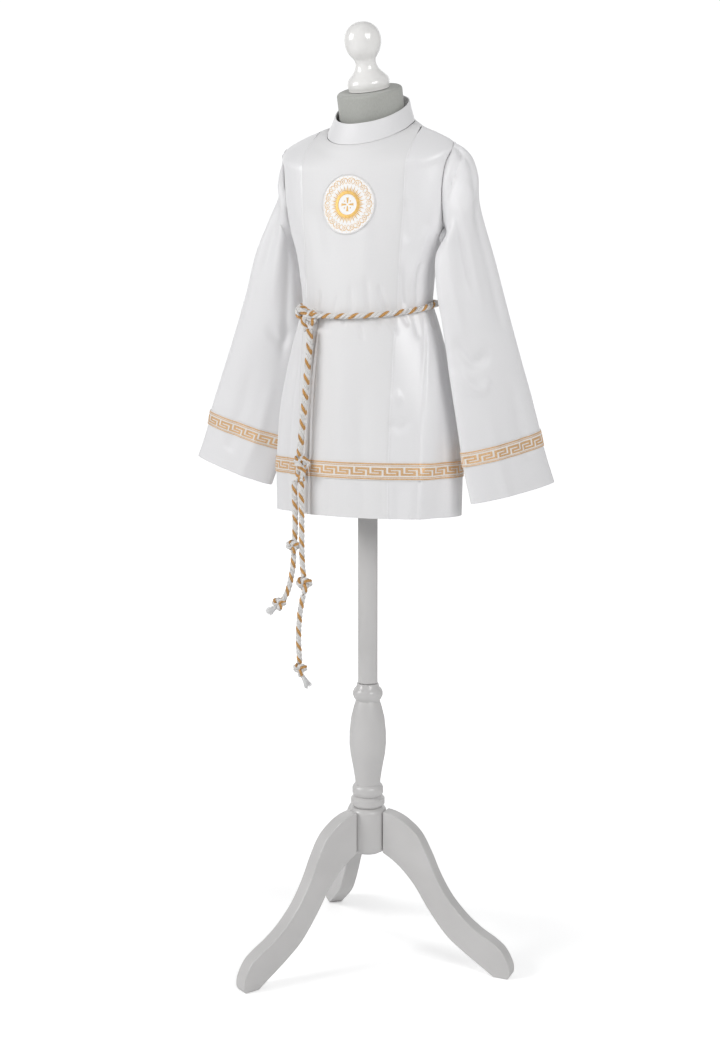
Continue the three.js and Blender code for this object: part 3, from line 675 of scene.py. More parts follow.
class Finishes:
    """Every material of the scene."""

    def __init__(self) -> None:
        """Build the shared groups, then each finish."""
        Effects.weave()
        Effects.wear()
        # The front, side, back and sleeve satins are one cloth: the side panels' and collar's lighter colour
        # is painted highlight, the front's darker colour painted shade.
        self.front = Cloth("satin_front_painted_shade", (0.76, 0.755, 0.76), (0.75, 0.745, 0.75), 0.55).make()
        self.side = Cloth("satin_side_painted_highlight", (0.80, 0.795, 0.805), (0.79, 0.785, 0.795), 0.34,
                          gloss=0.75).make()
        self.back = Cloth("satin_back", (0.78, 0.775, 0.78), (0.77, 0.765, 0.77), 0.5).make()
        self.sleeve = Cloth("satin_sleeve", (0.78, 0.775, 0.785), (0.77, 0.765, 0.775), 0.45,
                            gloss=0.5).make()
        self.ribbon = Cloth("ribbon_white", (0.83, 0.80, 0.77), (0.78, 0.75, 0.72), 0.4,
                            threads=1100.0).make()
        self.patch = Cloth("patch_white", (0.93, 0.92, 0.92), (0.89, 0.88, 0.88), 0.6,
                           threads=900.0).make()
        self.jersey = Cloth("form_grey", (0.44, 0.445, 0.42), (0.40, 0.405, 0.38), 0.9,
                            threads=700.0, mottle=240.0, sheen=0.3, gloss=0.2).make()
        self.white_thread = Thread("thread_white", (0.82, 0.81, 0.81), (0.70, 0.69, 0.69), 0.5).make()
        self.patch_thread = Thread("thread_patch", (0.92, 0.91, 0.91), (0.85, 0.84, 0.84), 0.5).make()
        self.gold_thread = Thread("thread_gold", (0.85, 0.57, 0.32), (0.60, 0.36, 0.18), 0.36,
                                  metal=0.35).make()
        self.sun_thread = Thread("thread_sun", (0.92, 0.62, 0.20), (0.66, 0.38, 0.10), 0.38,
                                 metal=0.3).make()
        self.white_strand = Strand("strand_white", (0.86, 0.85, 0.84), (0.62, 0.60, 0.58), 0.5).make()
        self.gold_strand = Strand("strand_gold", (0.74, 0.40, 0.12), (0.36, 0.16, 0.035), 0.36,
                                  metal=0.25).make()
        self.lacquer = Paint("finial_lacquer", (0.84, 0.83, 0.815), (0.82, 0.81, 0.795), 0.25,
                             coat=0.8).make()
        self.paint = Paint("stand_paint", (0.60, 0.59, 0.585), (0.57, 0.56, 0.555), 0.38,
                           coat=0.35, bump=0.12).make()
        self.floor = Paint("studio_floor", (0.93, 0.93, 0.93), (0.92, 0.92, 0.92), 0.8,
                           broad=1.0, fine=40.0, bump=0.0, glow=0.38).make()


def dress(piece: bpy.types.Object, material: bpy.types.Material | None, slot: str,
          *nodes: str) -> bpy.types.Object:
    """Give a finished piece its material and body, and hide the nodes that it stands for.

    Args:
        piece: the piece.
        material: its finish; None keeps the materials that its mesh has.
        slot: the record's material slot; not used.
        nodes: the CAD nodes that it replaces.

    Returns:
        The piece.
    """
    if material is not None:
        piece.data.materials.clear()
        piece.data.materials.append(material)
    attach(piece, "root")
    if nodes:
        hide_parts(*nodes)
    LOG.info("%s: %d faces", piece.name, len(piece.data.polygons))
    return piece


def corners_of(piece: bpy.types.Object) -> np.ndarray:
    """A piece's vertices, one row each."""
    flat = np.empty(len(piece.data.vertices) * 3)
    piece.data.vertices.foreach_get("co", flat)
    return flat.reshape(-1, 3)


def put_corners(piece: bpy.types.Object, places: np.ndarray) -> None:
    """Move a piece's vertices to new places."""
    piece.data.vertices.foreach_set("co", places.ravel())


# ---- surfaces of the garment ---------------------------------------------------------
class Profile(Enum):
    """How a crease's height runs across it."""

    ROUND = "a soft ridge or trough"
    LAP = "a step that one side of the cloth makes over the other"


@dataclass
class Crease:
    """A crease laid on a surface.

    The points are (degrees, place) pairs on the surface; width and height are in
    millimetres, and a negative height is a trough. fade is the share of its length over
    which each end dies away.
    """

    points: tuple[tuple[float, float], ...]
    width: float
    height: float
    profile: Profile = Profile.ROUND
    fade: tuple[float, float] = (0.3, 0.3)


class Surface:
    """A cloth surface of an angle and a place, in millimetres from the post's axis."""

    sign = 1.0

    def __init__(self, creases: list[Crease]) -> None:
        """Lay the creases on the plain surface."""
        self.creases = []
        for crease in creases:
            marks = np.array(crease.points, float)
            dense = row_at(marks, np.linspace(0, len(marks) - 1, 14))
            self.creases.append((crease, self.plain(np.radians(dense[:, 0]), dense[:, 1])))

    def plain(self, turn: np.ndarray, place: np.ndarray) -> np.ndarray:
        """The surface without its small creases."""
        raise NotImplementedError

    def plain_normal(self, turn: np.ndarray, place: np.ndarray) -> np.ndarray:
        """The plain surface's outward normal."""
        along = self.plain(turn + 0.01, place) - self.plain(turn - 0.01, place)
        up = self.plain(turn, place + 0.02) - self.plain(turn, place - 0.02)
        return unit(np.cross(along, up)) * self.sign

    def point(self, turn: np.ndarray, place: np.ndarray) -> np.ndarray:
        """The surface's points, creases included."""
        base = self.plain(turn, place)
        normal = self.plain_normal(turn, place)
        height = np.zeros(base.shape[:-1])
        for crease, path in self.creases:
            height += self.rise(crease, path, base, normal)
        return base + normal * height[..., None]

    @staticmethod
    def rise(crease: Crease, path: np.ndarray, base: np.ndarray, normal: np.ndarray) -> np.ndarray:
        """How far one crease lifts each point.

        Args:
            crease: the crease.
            path: points along it.
            base: the surface's plain points.
            normal: their normals.

        Returns:
            A height for each point, in millimetres.
        """
        reach = 4 * crease.width
        height = np.zeros(base.shape[:-1])
        near = np.all((base > path.min(0) - reach) & (base < path.max(0) + reach), axis=-1)
        if not near.any():
            return height
        spots, ups = base[near], normal[near]
        starts, runs = path[:-1], np.diff(path, axis=0)
        away = spots[:, None] - starts
        share = np.clip((away * runs).sum(-1) / np.maximum((runs * runs).sum(-1), 1e-9), 0, 1)
        gap = away - share[..., None] * runs
        distance = np.linalg.norm(gap, axis=-1)
        nearest = distance.argmin(1)
        pick = np.arange(len(spots))
        along = (nearest + share[pick, nearest]) / len(runs)
        across = distance[pick, nearest] / crease.width
        lift = np.exp(-across * across)
        if crease.profile is Profile.LAP:
            side = np.cross(runs[nearest], gap[pick, nearest])
            lift = lift * np.tanh(4 * across) * np.sign((side * ups).sum(-1))
        for fade, end in zip(crease.fade, (along, 1 - along)):
            if fade > 0:
                lift = lift * smoothstep(end, 0, fade)
        height[near] = crease.height * lift
        return height

    def frame(self, turn: np.ndarray, place: np.ndarray) -> tuple[np.ndarray, np.ndarray]:
        """The surface's points and outward normals."""
        along = self.point(turn + 0.006, place) - self.point(turn - 0.006, place)
        up = self.point(turn, place + 0.012) - self.point(turn, place - 0.012)
        return self.point(turn, place), unit(np.cross(along, up)) * self.sign

    def even_places(self, low: float, high: float, step: float, turn: float) -> np.ndarray:
        """Places that are about a step of millimetres apart along one angle."""
        fine = np.linspace(low, high, 200)
        line = self.plain(np.full(200, turn), fine)
        run = run_along(line)
        return np.interp(np.linspace(0, run[-1], max(2, round(run[-1] / step) + 1)), run, fine)


class Body(Surface):
    """The alb's body, from hem to neck seam."""

    # front, side and back heights, half width, front and back depths, centre, princess seam
    ROWS = np.array([
        (753, 751, 754, 155, 100, 108, 0, 75),           # 0 hem
        (813, 812, 815, 156, 100, 107, 0, 75),           # 1 band foot
        (841, 840, 843, 155, 99, 106, 0, 76),            # 2 band head
        (910, 910, 912, 149, 97, 103, 0, 77),            # 3 skirt
        (960, 960, 962, 139, 95.5, 99, 0, 78),           # 4 hip
        (1010, 1012, 1016, 127, 93.5, 94, 0, 78),        # 5 high hip
        (1044, 1056, 1062, 115, 91.5, 88, 0, 78.5),      # 6 under belt
        (1063, 1080, 1086, 107, 89.5, 84, 0, 79),        # 7 belt
        (1084, 1102, 1108, 108, 88, 86, 0, 79.5),        # 8 over belt
        (1120, 1130, 1134, 111, 84, 88, 0, 80),          # 9 blouse
        (1160, 1163, 1165, 119, 78, 87, 0, 81),          # 10 ribs
        (1196, 1194, 1196, 131, 73.5, 84, 0, 84),        # 11 armpit
        (1226, 1230, 1230, 139, 71, 82, 0, 86),          # 12 chest
        (1252, 1270, 1264, 144, 70.5, 80, 1, 87),        # 13 yoke
        (1270, 1304, 1290, 145, 70, 78, 1, 88),          # 14 upper chest
        (1284, 1325, 1313, 145, 69, 78, 1, 88.5),        # 15 shoulder tip
        (1296, 1341, 1337, 117, 70, 74, 4, 88.8),        # 16 shoulder
        (1307, 1352, 1355, 89, 72, 67, 9, 88.9),         # 17 seam end
        (1315, 1356, 1367, 79, 73, 60, 12, 88.9),        # 18 neck side
        (1322, 1358, 1377, 70, 73, 55, 15, 88.9),        # 19 neck seam
    ], float)
    HEM, BAND_FOOT, BAND_HEAD, BELT, ARMPIT, TIP, SEAM_END, NECK = 0, 1, 2, 7, 11, 15, 17, 19
    # degrees at head and foot, half width in degrees, height, and the row where it dies away
    FOLDS = ((76, 48, 9, 5, 6.6), (90, 66, 8, -4, 6.3), (102, 96, 9, 4, 6.4),
             (-58, -60, 9, 4, 6.4), (-88, -84, 8, -3, 6.2), (140, 134, 10, 5, 6.6),
             (158, 154, 8, -4, 6.2), (-132, -140, 10, 5.5, 6.6), (-155, -160, 8, -3, 6.3))
    # how far the armholes cut into the body, in degrees
    ARMHOLE_FRONT = 19.0
    ARMHOLE_BACK = 15.0

    def plain(self, turn: np.ndarray, place: np.ndarray) -> np.ndarray:
        """The ovals with their largest folds."""
        row = row_at(self.ROWS, place)
        depth = np.where(np.cos(turn) > 0, row[..., 4], row[..., 5])
        out = unit(np.stack([np.sin(turn) / row[..., 3], -np.cos(turn) / depth, 0 * turn], -1))
        height = 0
        for head, foot, width, rise, end in self.FOLDS:
            middle = head + (foot - head) * np.clip((end - place) / end, 0, 1)
            across = (np.degrees(turn) - middle) / width
            height = height + rise * smoothstep(end - place, 0, 3) * np.exp(-across * across)
        return oval(row, turn) + out * np.asarray(height)[..., None]

    def princess(self, place: np.ndarray) -> np.ndarray:
        """The princess seam's angle at each place."""
        row = row_at(self.ROWS, place)
        seam = np.arcsin(np.clip(row[..., 7] / row[..., 3], -1, 1))
        return np.where(place > self.SEAM_END, math.pi / 2, seam)

    def side(self, place: np.ndarray, cut: float) -> np.ndarray:
        """The angle of a panel's outer edge: side seam, armhole or shoulder seam."""
        up = (np.asarray(place, float) - self.ARMPIT) / (self.TIP - self.ARMPIT)
        inside = (up > 0) & (up < 1)
        bow = np.sin(math.pi * np.clip(up, 0, 1)) ** 0.7
        return math.pi / 2 - np.where(inside, math.radians(cut) * bow, 0)


class WrappedBody(Surface):
    """The body with its angle counted past a half turn."""

    def __init__(self, body: Body) -> None:
        """Share the body's surface."""
        self.body = body
        self.creases = body.creases

    def plain(self, turn: np.ndarray, place: np.ndarray) -> np.ndarray:
        """The body's own plain surface at the angle's place in one turn."""
        return self.body.plain((turn + math.pi) % (2 * math.pi) - math.pi, place)


class Sleeve(Surface):
    """A sleeve, from the armhole to the cuff; a turn of 0 is its upper fold."""

    BAND_HEAD, BAND_FOOT, CUFF = 8, 9, 11
    # rows over which the tube blends into the armhole, and the seam's gap in millimetres
    BLEND = 1.4
    SEAM_CLEAR = 0.15
    # how far the sleeve stands out and in at the armhole, in millimetres
    STAND = (36, 30)

    def __init__(self, body: Body, sections: tuple, side: int, creases: list[Crease]) -> None:
        """Lay the sections out from the armhole.

        Args:
            body: the body that the sleeve is set in.
            sections: upper fold, underarm fold, and outer and inner stand of each section.
            side: 1 for the wearer's left, -1 for the right.
            creases: its creases.
        """
        self.body, self.side = body, side
        ends = [self.armhole(np.array(turn)) for turn in (0.0, math.pi)]
        first = np.array([*ends[0], *ends[1], *self.STAND])
        self.sections = np.vstack([first, np.array(sections, float)])
        self.sign = float(side)
        super().__init__(creases)

    def armhole(self, turn: np.ndarray) -> np.ndarray:
        """The armhole's edge on the body."""
        span = Body.TIP - Body.ARMPIT
        place = Body.TIP - span * (1 - np.cos(turn)) / 2
        front = np.sin(turn) >= 0
        edge = np.where(front, self.body.side(place, Body.ARMHOLE_FRONT),
                        math.pi - self.body.side(place, Body.ARMHOLE_BACK))
        return self.body.plain(self.side * edge, place)

    def plain(self, turn: np.ndarray, place: np.ndarray) -> np.ndarray:
        """The flattened tube, blended into the armhole."""
        row = row_at(self.sections, place)
        top, under = row[..., 0:3], row[..., 3:6]
        across = (top - under) / 2
        face = unit(np.stack([across[..., 1], -across[..., 0], 0 * across[..., 0]], -1)) * self.side
        depth = np.where(np.sin(turn) > 0, row[..., 6], row[..., 7]) * np.sin(turn)
        tube = (top + under) / 2 + across * np.cos(turn)[..., None] + face * depth[..., None]
        seam = self.armhole(turn) + np.array([self.side * self.SEAM_CLEAR, 0, 0])
        blend = smoothstep(np.asarray(place, float), 0, self.BLEND)[..., None]
        return seam + (tube - seam) * blend


BODY_CREASES = [
    # the double pleat beside the hanging cord
    Crease(((-26.5, 6.6), (-25, 6), (-23.9, 3.5), (-23, 2), (-24.6, -0.2)), 3.2, -3.2, fade=(0.12, 0)),
    Crease(((-21.5, 6.2), (-20.9, 3.5), (-20.4, 2), (-21.6, -0.2)), 2.4, -1.8, fade=(0.3, 0)),
    Crease(((-23.8, 6.4), (-22.4, 3.5), (-21.8, 2), (-23, -0.2)), 2.6, 1.9, fade=(0.2, 0)),
    # the pressed edge of the left front ridge
    Crease(((78, 6.7), (70, 5.4), (62, 4.4), (55, 3.2), (51, 2), (49, -0.2)), 7, 1.9, Profile.LAP, (0.2, 0)),
    # gathers under the belt
    Crease(((-50, 6.9), (-54, 5.6)), 4.5, -2.4),
    Crease(((-38, 6.9), (-40, 5.9)), 4, -1.9),
    Crease(((-11, 6.9), (-13, 5.7)), 4.2, -1.6),
    Crease(((2, 6.9), (2, 6.1)), 3.5, -1.5),
    Crease(((14, 6.9), (17, 5.3)), 4.6, -2),
    Crease(((27, 6.9), (31, 5.8)), 4, -2.2),
    Crease(((38, 6.9), (44, 5.5)), 4.4, -2.3),
    Crease(((52, 6.9), (56, 5.9)), 4, -2.6),
    Crease(((64, 6.9), (63, 5.3)), 5, -3),
    Crease(((84, 6.9), (86, 5.6)), 5, -2.7),
    # gathers over the belt
    Crease(((-44, 7.3), (-47, 9.4)), 5, -2.2),
    Crease(((-27, 7.3), (-25, 8.6)), 4.5, -1.8),
    Crease(((-8, 7.2), (-6, 8.4)), 4, -1.4),
    Crease(((9, 7.2), (6, 8.9)), 4.6, -1.6),
    Crease(((25, 7.2), (18, 9.2)), 5, -2),
    Crease(((40, 7.2), (29, 8.8)), 4, -2.6),
    Crease(((55, 7.2), (47, 9.6)), 5, -2.7),
    Crease(((70, 7.3), (66, 9.6)), 5.5, -3.1),
    # soft drape of the chest and blouse
    Crease(((-28, 12.4), (-20, 9.4)), 15, -2.2),
    Crease(((12, 12), (18, 8.6)), 14, 1.9),
    Crease(((40, 12.5), (47, 10.3)), 9, -2.4),
    Crease(((64, 11.2), (60, 8.2)), 9, 3.2),
    Crease(((-62, 11.6), (-56, 8.2)), 10, 3),
    Crease(((-76, 11), (-70, 8.4)), 8, -2.7),
    # dents beside the left princess seam and soft hangs of the skirt
    Crease(((31, 2.95), (38, 2.75), (43, 3.0)), 9, -2.7),
    Crease(((33, 3.5), (41, 3.7)), 9, 2.2),
    Crease(((2, 5.2), (-1, 1.4)), 20, 2.4, fade=(0.4, 0.4)),
    Crease(((13, 4.2), (14, 0)), 12, -1.6, fade=(0.4, 0)),
    Crease(((30, 2.6), (31, -0.2)), 8, 1.8, fade=(0.5, 0)),
    Crease(((-8, 1.4), (-8, -0.2)), 8, -1.5, fade=(0.6, 0)),
    Crease(((-43, 5.6), (-44, 0)), 9, -3, fade=(0.3, 0)),
    Crease(((-72, 5.8), (-73, 0)), 8, -3.5, fade=(0.3, 0)),
    # the back: gathers at the belt, hanging folds and a soft drape between the shoulders
    *(Crease(((deg, 6.9), (deg + lean, 5.7 - 0.5 * (k % 3))), 4.5, -2 - 0.3 * (k % 2))
      for k, (deg, lean) in enumerate(((112, -2), (126, 3), (149, 2), (166, -3), (180, 1), (-168, 3),
                                       (-146, -2), (-122, 3), (-106, -3)))),
    *(Crease(((deg, 7.3), (deg + lean, 8.8 + 0.6 * (k % 3))), 5, -2.2 - 0.3 * (k % 2))
      for k, (deg, lean) in enumerate(((105, 3), (121, -4), (140, 2), (158, 4), (174, -2), (-172, 3),
                                       (-153, -4), (-131, 3), (-112, -3)))),
    Crease(((172, 5.8), (174, 0)), 10, -4.1, fade=(0.3, 0)),
    Crease(((-176, 5.4), (-174, 0)), 11, 3.5, fade=(0.3, 0)),
    Crease(((118, 5.6), (112, 0)), 9, -3.8, fade=(0.3, 0)),
    Crease(((-112, 5.6), (-108, 0)), 9, -3.8, fade=(0.3, 0)),
    Crease(((150, 14), (160, 11.4), (176, 10)), 14, -3),
    Crease(((-150, 14), (-160, 11.2), (-174, 9.8)), 14, -2.7),
]

LEFT_SECTIONS = (
    (168, 6, 1311, 136, -7, 1186, 36, 24), (179, 13, 1278, 133, -23, 1170, 34, 14),
    (177, 24, 1232, 129.5, -31, 1145, 32, 12), (197, 40, 1150, 134, -33, 1095, 29, 14),
    (212, 56, 1078, 144, -33, 1045, 26, 16), (228, 72, 1005, 155, -34, 980, 24, 18),
    (244, 88, 935, 167, -35, 915, 22, 19), (254, 100, 885, 177, -35, 857, 21, 20),
    (259, 104, 859, 181, -35, 833, 20.5, 20), (267, 108, 830, 187, -35, 805, 20, 19),
    (276, 112, 801, 194, -35, 777, 19, 18),
)
RIGHT_SECTIONS = (
    (-149, 7, 1308, -135, 0, 1187, 24, 30), (-154, 11, 1274, -134, 4, 1168, 22, 28),
    (-178, 16, 1225, -131, 12, 1138, 25, 26), (-213, 24, 1165, -130, 20, 1095, 28, 25),
    (-241, 33, 1095, -133, 29, 1045, 26, 24), (-272, 41, 1022, -140, 37, 985, 24, 23),
    (-301, 47, 955, -151, 41, 925, 22, 22), (-324, 51, 901, -165, 41, 862, 21, 21),
    (-331, 53, 877, -175, 40, 837, 20.5, 20.5), (-343, 57, 849, -187, 37, 808, 20, 20),
    (-357, 60, 820, -198, 35, 779, 19, 19),
)
LEFT_CREASES = [
    # the sleeve head's tuck and the pull from it
    Crease(((14, 0.5), (32, 0.85), (58, 0.9), (92, 0.75), (126, 0.5)), 5, -5.4, fade=(0.15, 0.3)),
    Crease(((20, 0.7), (40, 1.5), (60, 2.4)), 7, -3.5),
    Crease(((70, 1.1), (78, 3.4)), 9, 3.2),
    # hanging folds of the upper sleeve
    Crease(((112, 1.2), (104, 4.6)), 8, -3.8),
    Crease(((92, 1.6), (88, 5.2)), 9, 2.9),
    Crease(((52, 2.2), (58, 5.6)), 10, -3.2),
    Crease(((136, 1.6), (128, 5.4)), 7, 3.2),
    # the elbow's soft fold and the forearm
    Crease(((150, 5.2), (120, 5.9), (88, 5.7)), 9, -4.8),
    Crease(((156, 5.9), (124, 6.5), (96, 6.4)), 8, 3.5),
    Crease(((70, 6.2), (66, 9.4)), 12, -2.6, fade=(0.4, 0.1)),
    Crease(((112, 6.6), (108, 11.2)), 11, 2.6, fade=(0.4, 0)),
    # the inner and back faces
    Crease(((236, 1.6), (246, 5.4)), 9, -3.8),
    Crease(((282, 2.2), (276, 6.2)), 10, 3.5),
    Crease(((206, 5.4), (236, 6.1), (270, 5.8)), 9, -4.2),
    Crease(((250, 6.8), (256, 11)), 11, -2.6, fade=(0.4, 0)),
    Crease(((318, 1.4), (310, 5.2)), 9, -2.9),
]
RIGHT_CREASES = [
    Crease(((16, 0.5), (40, 0.85), (80, 0.8), (120, 0.5)), 5, -3.8, fade=(0.15, 0.3)),
    Crease(((60, 1.4), (74, 4.6)), 10, -3.5),
    Crease(((104, 1.6), (100, 5.2)), 10, 3.2),
    Crease(((132, 1.8), (126, 6.4)), 8, -4.2),
    Crease(((34, 2.4), (52, 5.8)), 11, 2.9),
    Crease(((150, 4.8), (124, 5.6), (92, 5.3)), 10, -3.8),
    Crease(((84, 5.8), (80, 10)), 13, -2.4, fade=(0.4, 0.1)),
    Crease(((118, 6), (112, 11)), 11, 2.6, fade=(0.4, 0)),
    Crease(((236, 1.6), (246, 5.6)), 9, -3.8),
    Crease(((282, 2.0), (278, 6)), 10, 3.5),
    Crease(((214, 5), (240, 5.8), (268, 5.5)), 9, -3.8),
    Crease(((250, 6.6), (254, 11)), 11, -2.6, fade=(0.4, 0)),
    Crease(((318, 1.4), (308, 5.4)), 10, -2.9),
]


# ---- the alb's panels, collar and sleeves --------------------------------------------
@dataclass
class Alb:
    """The white garment itself; sizes in millimetres."""

    finishes: Finishes
    cloth: float = 1.5
    collar_wall: float = 2.0
    seam_inset: float = 0.03
    seam_depth: float = 0.35
    seam_width: float = 1.6
    row_step: float = 3.6
    stitch_pitch: float = 2.8
    body: Body = field(default_factory=lambda: Body(BODY_CREASES))

    COLLAR = np.array([
        (1322.5, 1358.5, 1377.5, 69.6, 72.6, 54.6, 15), (1339, 1372, 1395, 63, 67, 58, 15.5),
        (1355, 1385, 1412, 57.5, 62, 61, 16),
    ], float)
    # half the collar's opening at centre back, in radians
    OPENING = 0.006
    # the smallest share of its flat rectangle that a sheet may state as its area
    LEAST_AREA = 0.31

    def __post_init__(self) -> None:
        """Set the sleeves in the body."""
        self.sleeves = {
            "left": Sleeve(self.body, LEFT_SECTIONS, 1, LEFT_CREASES),
            "right": Sleeve(self.body, RIGHT_SECTIONS, -1, RIGHT_CREASES),
        }
        self.stitch_tree = Trees.stitches()

    def panels(self) -> dict[str, tuple]:
        """Each panel's two edges, columns, top row and finish."""
        side, princess = self.body.side, self.body.princess
        front, back = Body.ARMHOLE_FRONT, Body.ARMHOLE_BACK
        f = self.finishes
        return {
            "front_centre": (lambda p: -princess(p), princess, 120, Body.NECK, f.front),
            "front_side_left": (princess, lambda p: side(p, front), 52, Body.SEAM_END, f.side),
            "front_side_right": (lambda p: -side(p, front), lambda p: -princess(p), 52,
                                 Body.SEAM_END, f.side),
            "back_left": (lambda p: math.pi - side(p, back), lambda p: math.pi + 0 * p, 76,
                          Body.NECK, f.back),
            "back_right": (lambda p: -math.pi + 0 * p, lambda p: side(p, back) - math.pi, 76,
                           Body.NECK, f.back),
        }

    def sunk_seams(self, points: np.ndarray, normals: np.ndarray) -> np.ndarray:
        """Pull a grid's points in towards its side seams."""
        run = flat_places(points)[..., 0]
        gap = np.minimum(run, run[:, -1:] - run)
        dip = self.seam_depth * np.exp(-(gap / self.seam_width) ** 2)
        return points - normals * dip[..., None]

    def build_panel(self, name: str, start: Callable, end: Callable, columns: int, top: int,
                    finish: bpy.types.Material) -> bpy.types.Object:
        """One panel of the body, as a thin wall on its solid's form.

        Args:
            name: the node that it replaces.
            start: its first edge's angle at each place.
            end: its last edge's angle at each place.
            columns: how many columns of faces it has.
            top: the row that it ends at.
            finish: its cloth.

        Returns:
            The panel.
        """
        beside = 0.0 if name == "front_centre" else math.pi / 2
        places = self.body.even_places(0, top, self.row_step, beside)
        inset = self.seam_inset / row_at(Body.ROWS, places)[:, 4]
        low, high = start(places) + inset, end(places) - inset
        turn = low[:, None] + (high - low)[:, None] * np.linspace(0, 1, columns + 1)
        place = np.broadcast_to(places[:, None], turn.shape)
        points, normals = self.body.frame(turn, place)
        points = self.sunk_seams(points, normals)
        piece = shell(f"alb_{name}", Frame.place(points), normals, self.cloth * MM)
        dress(piece, finish, "alb_satin", name)
        return self.declare(piece, points)

    def declare(self, piece: bpy.types.Object, points: np.ndarray,
                loop: bool = False) -> bpy.types.Object:
        """Work out the lengths of a wall's grid; the wall comes back unchanged.

        Args:
            piece: the wall.
            points: its grid, in millimetres.
            loop: whether the last column meets the first.

        Returns:
            The wall.
        """
        if loop:
            points = np.concatenate([points, points[:, :1]], 1)
        run = flat_places(points)
        across = np.diff(points, axis=1)[:-1]
        upward = np.diff(points, axis=0)[:, :-1]
        return piece

    def build_collar(self) -> bpy.types.Object:
        """The stand collar, open at the centre back."""
        places = np.linspace(0, 2, 22)
        turns = np.linspace(-math.pi + self.OPENING, math.pi - self.OPENING, 181)
        turn, place = np.meshgrid(turns, places)
        points = oval(row_at(self.COLLAR, place), turn)
        normals = grid_normals(points)
        height = place / 2
        ripple = 0.5 * np.sin(3 * turn + 0.6) * height + 0.35 * np.sin(7 * turn) * height
        points = points + normals * ripple[..., None]
        piece = shell("alb_collar", Frame.place(points), normals, self.collar_wall * MM)
        bevel = piece.modifiers.new("rolled_edge", "BEVEL")
        bevel.width, bevel.segments, bevel.limit_method = 0.7 * MM, 2, "ANGLE"
        dress(piece, self.finishes.side, "alb_satin", "collar")
        return self.declare(piece, points)

    def build_sleeve(self, side: str) -> bpy.types.Object:
        """One sleeve, its grid sunk a little at the armhole seam."""
        shape = self.sleeves[side]
        places = shape.even_places(0.0, Sleeve.CUFF, self.row_step, math.pi / 2)
        turns = np.linspace(0, 2 * math.pi, 128, endpoint=False)
        turn, place = np.meshgrid(turns, places)
        points, normals = shape.frame(turn, place)
        depth = self.seam_depth * np.exp(-((place / 0.07) ** 2))
        points = points - normals * depth[..., None]
        piece = shell(f"alb_sleeve_{side}", Frame.place(points), normals, self.cloth * MM, loop=True)
        dress(piece, self.finishes.sleeve, "alb_satin", f"sleeve_{side}")
        return self.declare(piece, points, loop=True)

    def stitch_lines(self) -> bpy.types.Object:
        """The topstitching beside the princess seams, the collar seam and the armholes."""
        runs = []
        for sign in (-1, 1):
            places = self.body.even_places(0.03, Body.SEAM_END - 0.05, 6, math.pi / 4)
            beside = 3.2 / row_at(Body.ROWS, places)[:, 3]
            points, normals = self.body.frame(sign * (self.body.princess(places) + beside), places)
            runs.append(Frame.place(points + normals * 0.1))
        turns = np.linspace(-2.9, 2.9, 180)
        points, normals = self.body.frame(turns, np.full(180, Body.NECK - 0.35))
        runs.append(Frame.place(points + normals * 0.1))
        for shape in self.sleeves.values():
            turns = np.linspace(-0.2, math.pi - 0.2, 80)
            points, normals = shape.frame(turns, np.full(80, 0.16))
            runs.append(Frame.place(points + normals * 0.05))
        piece = baked(polyline("alb_topstitching", runs), self.stitch_tree, {
            "Pitch": self.stitch_pitch * MM, "Length": 2.1 * MM, "Radius": 0.22 * MM,
            "Thread": self.finishes.white_thread})
        return dress(piece, None, "alb_satin")

    def build(self) -> None:
        """Make every piece of the garment."""
        for name, panel in self.panels().items():
            self.build_panel(name, *panel)
        self.build_collar()
        for side in self.sleeves:
            self.build_sleeve(side)
        self.stitch_lines()


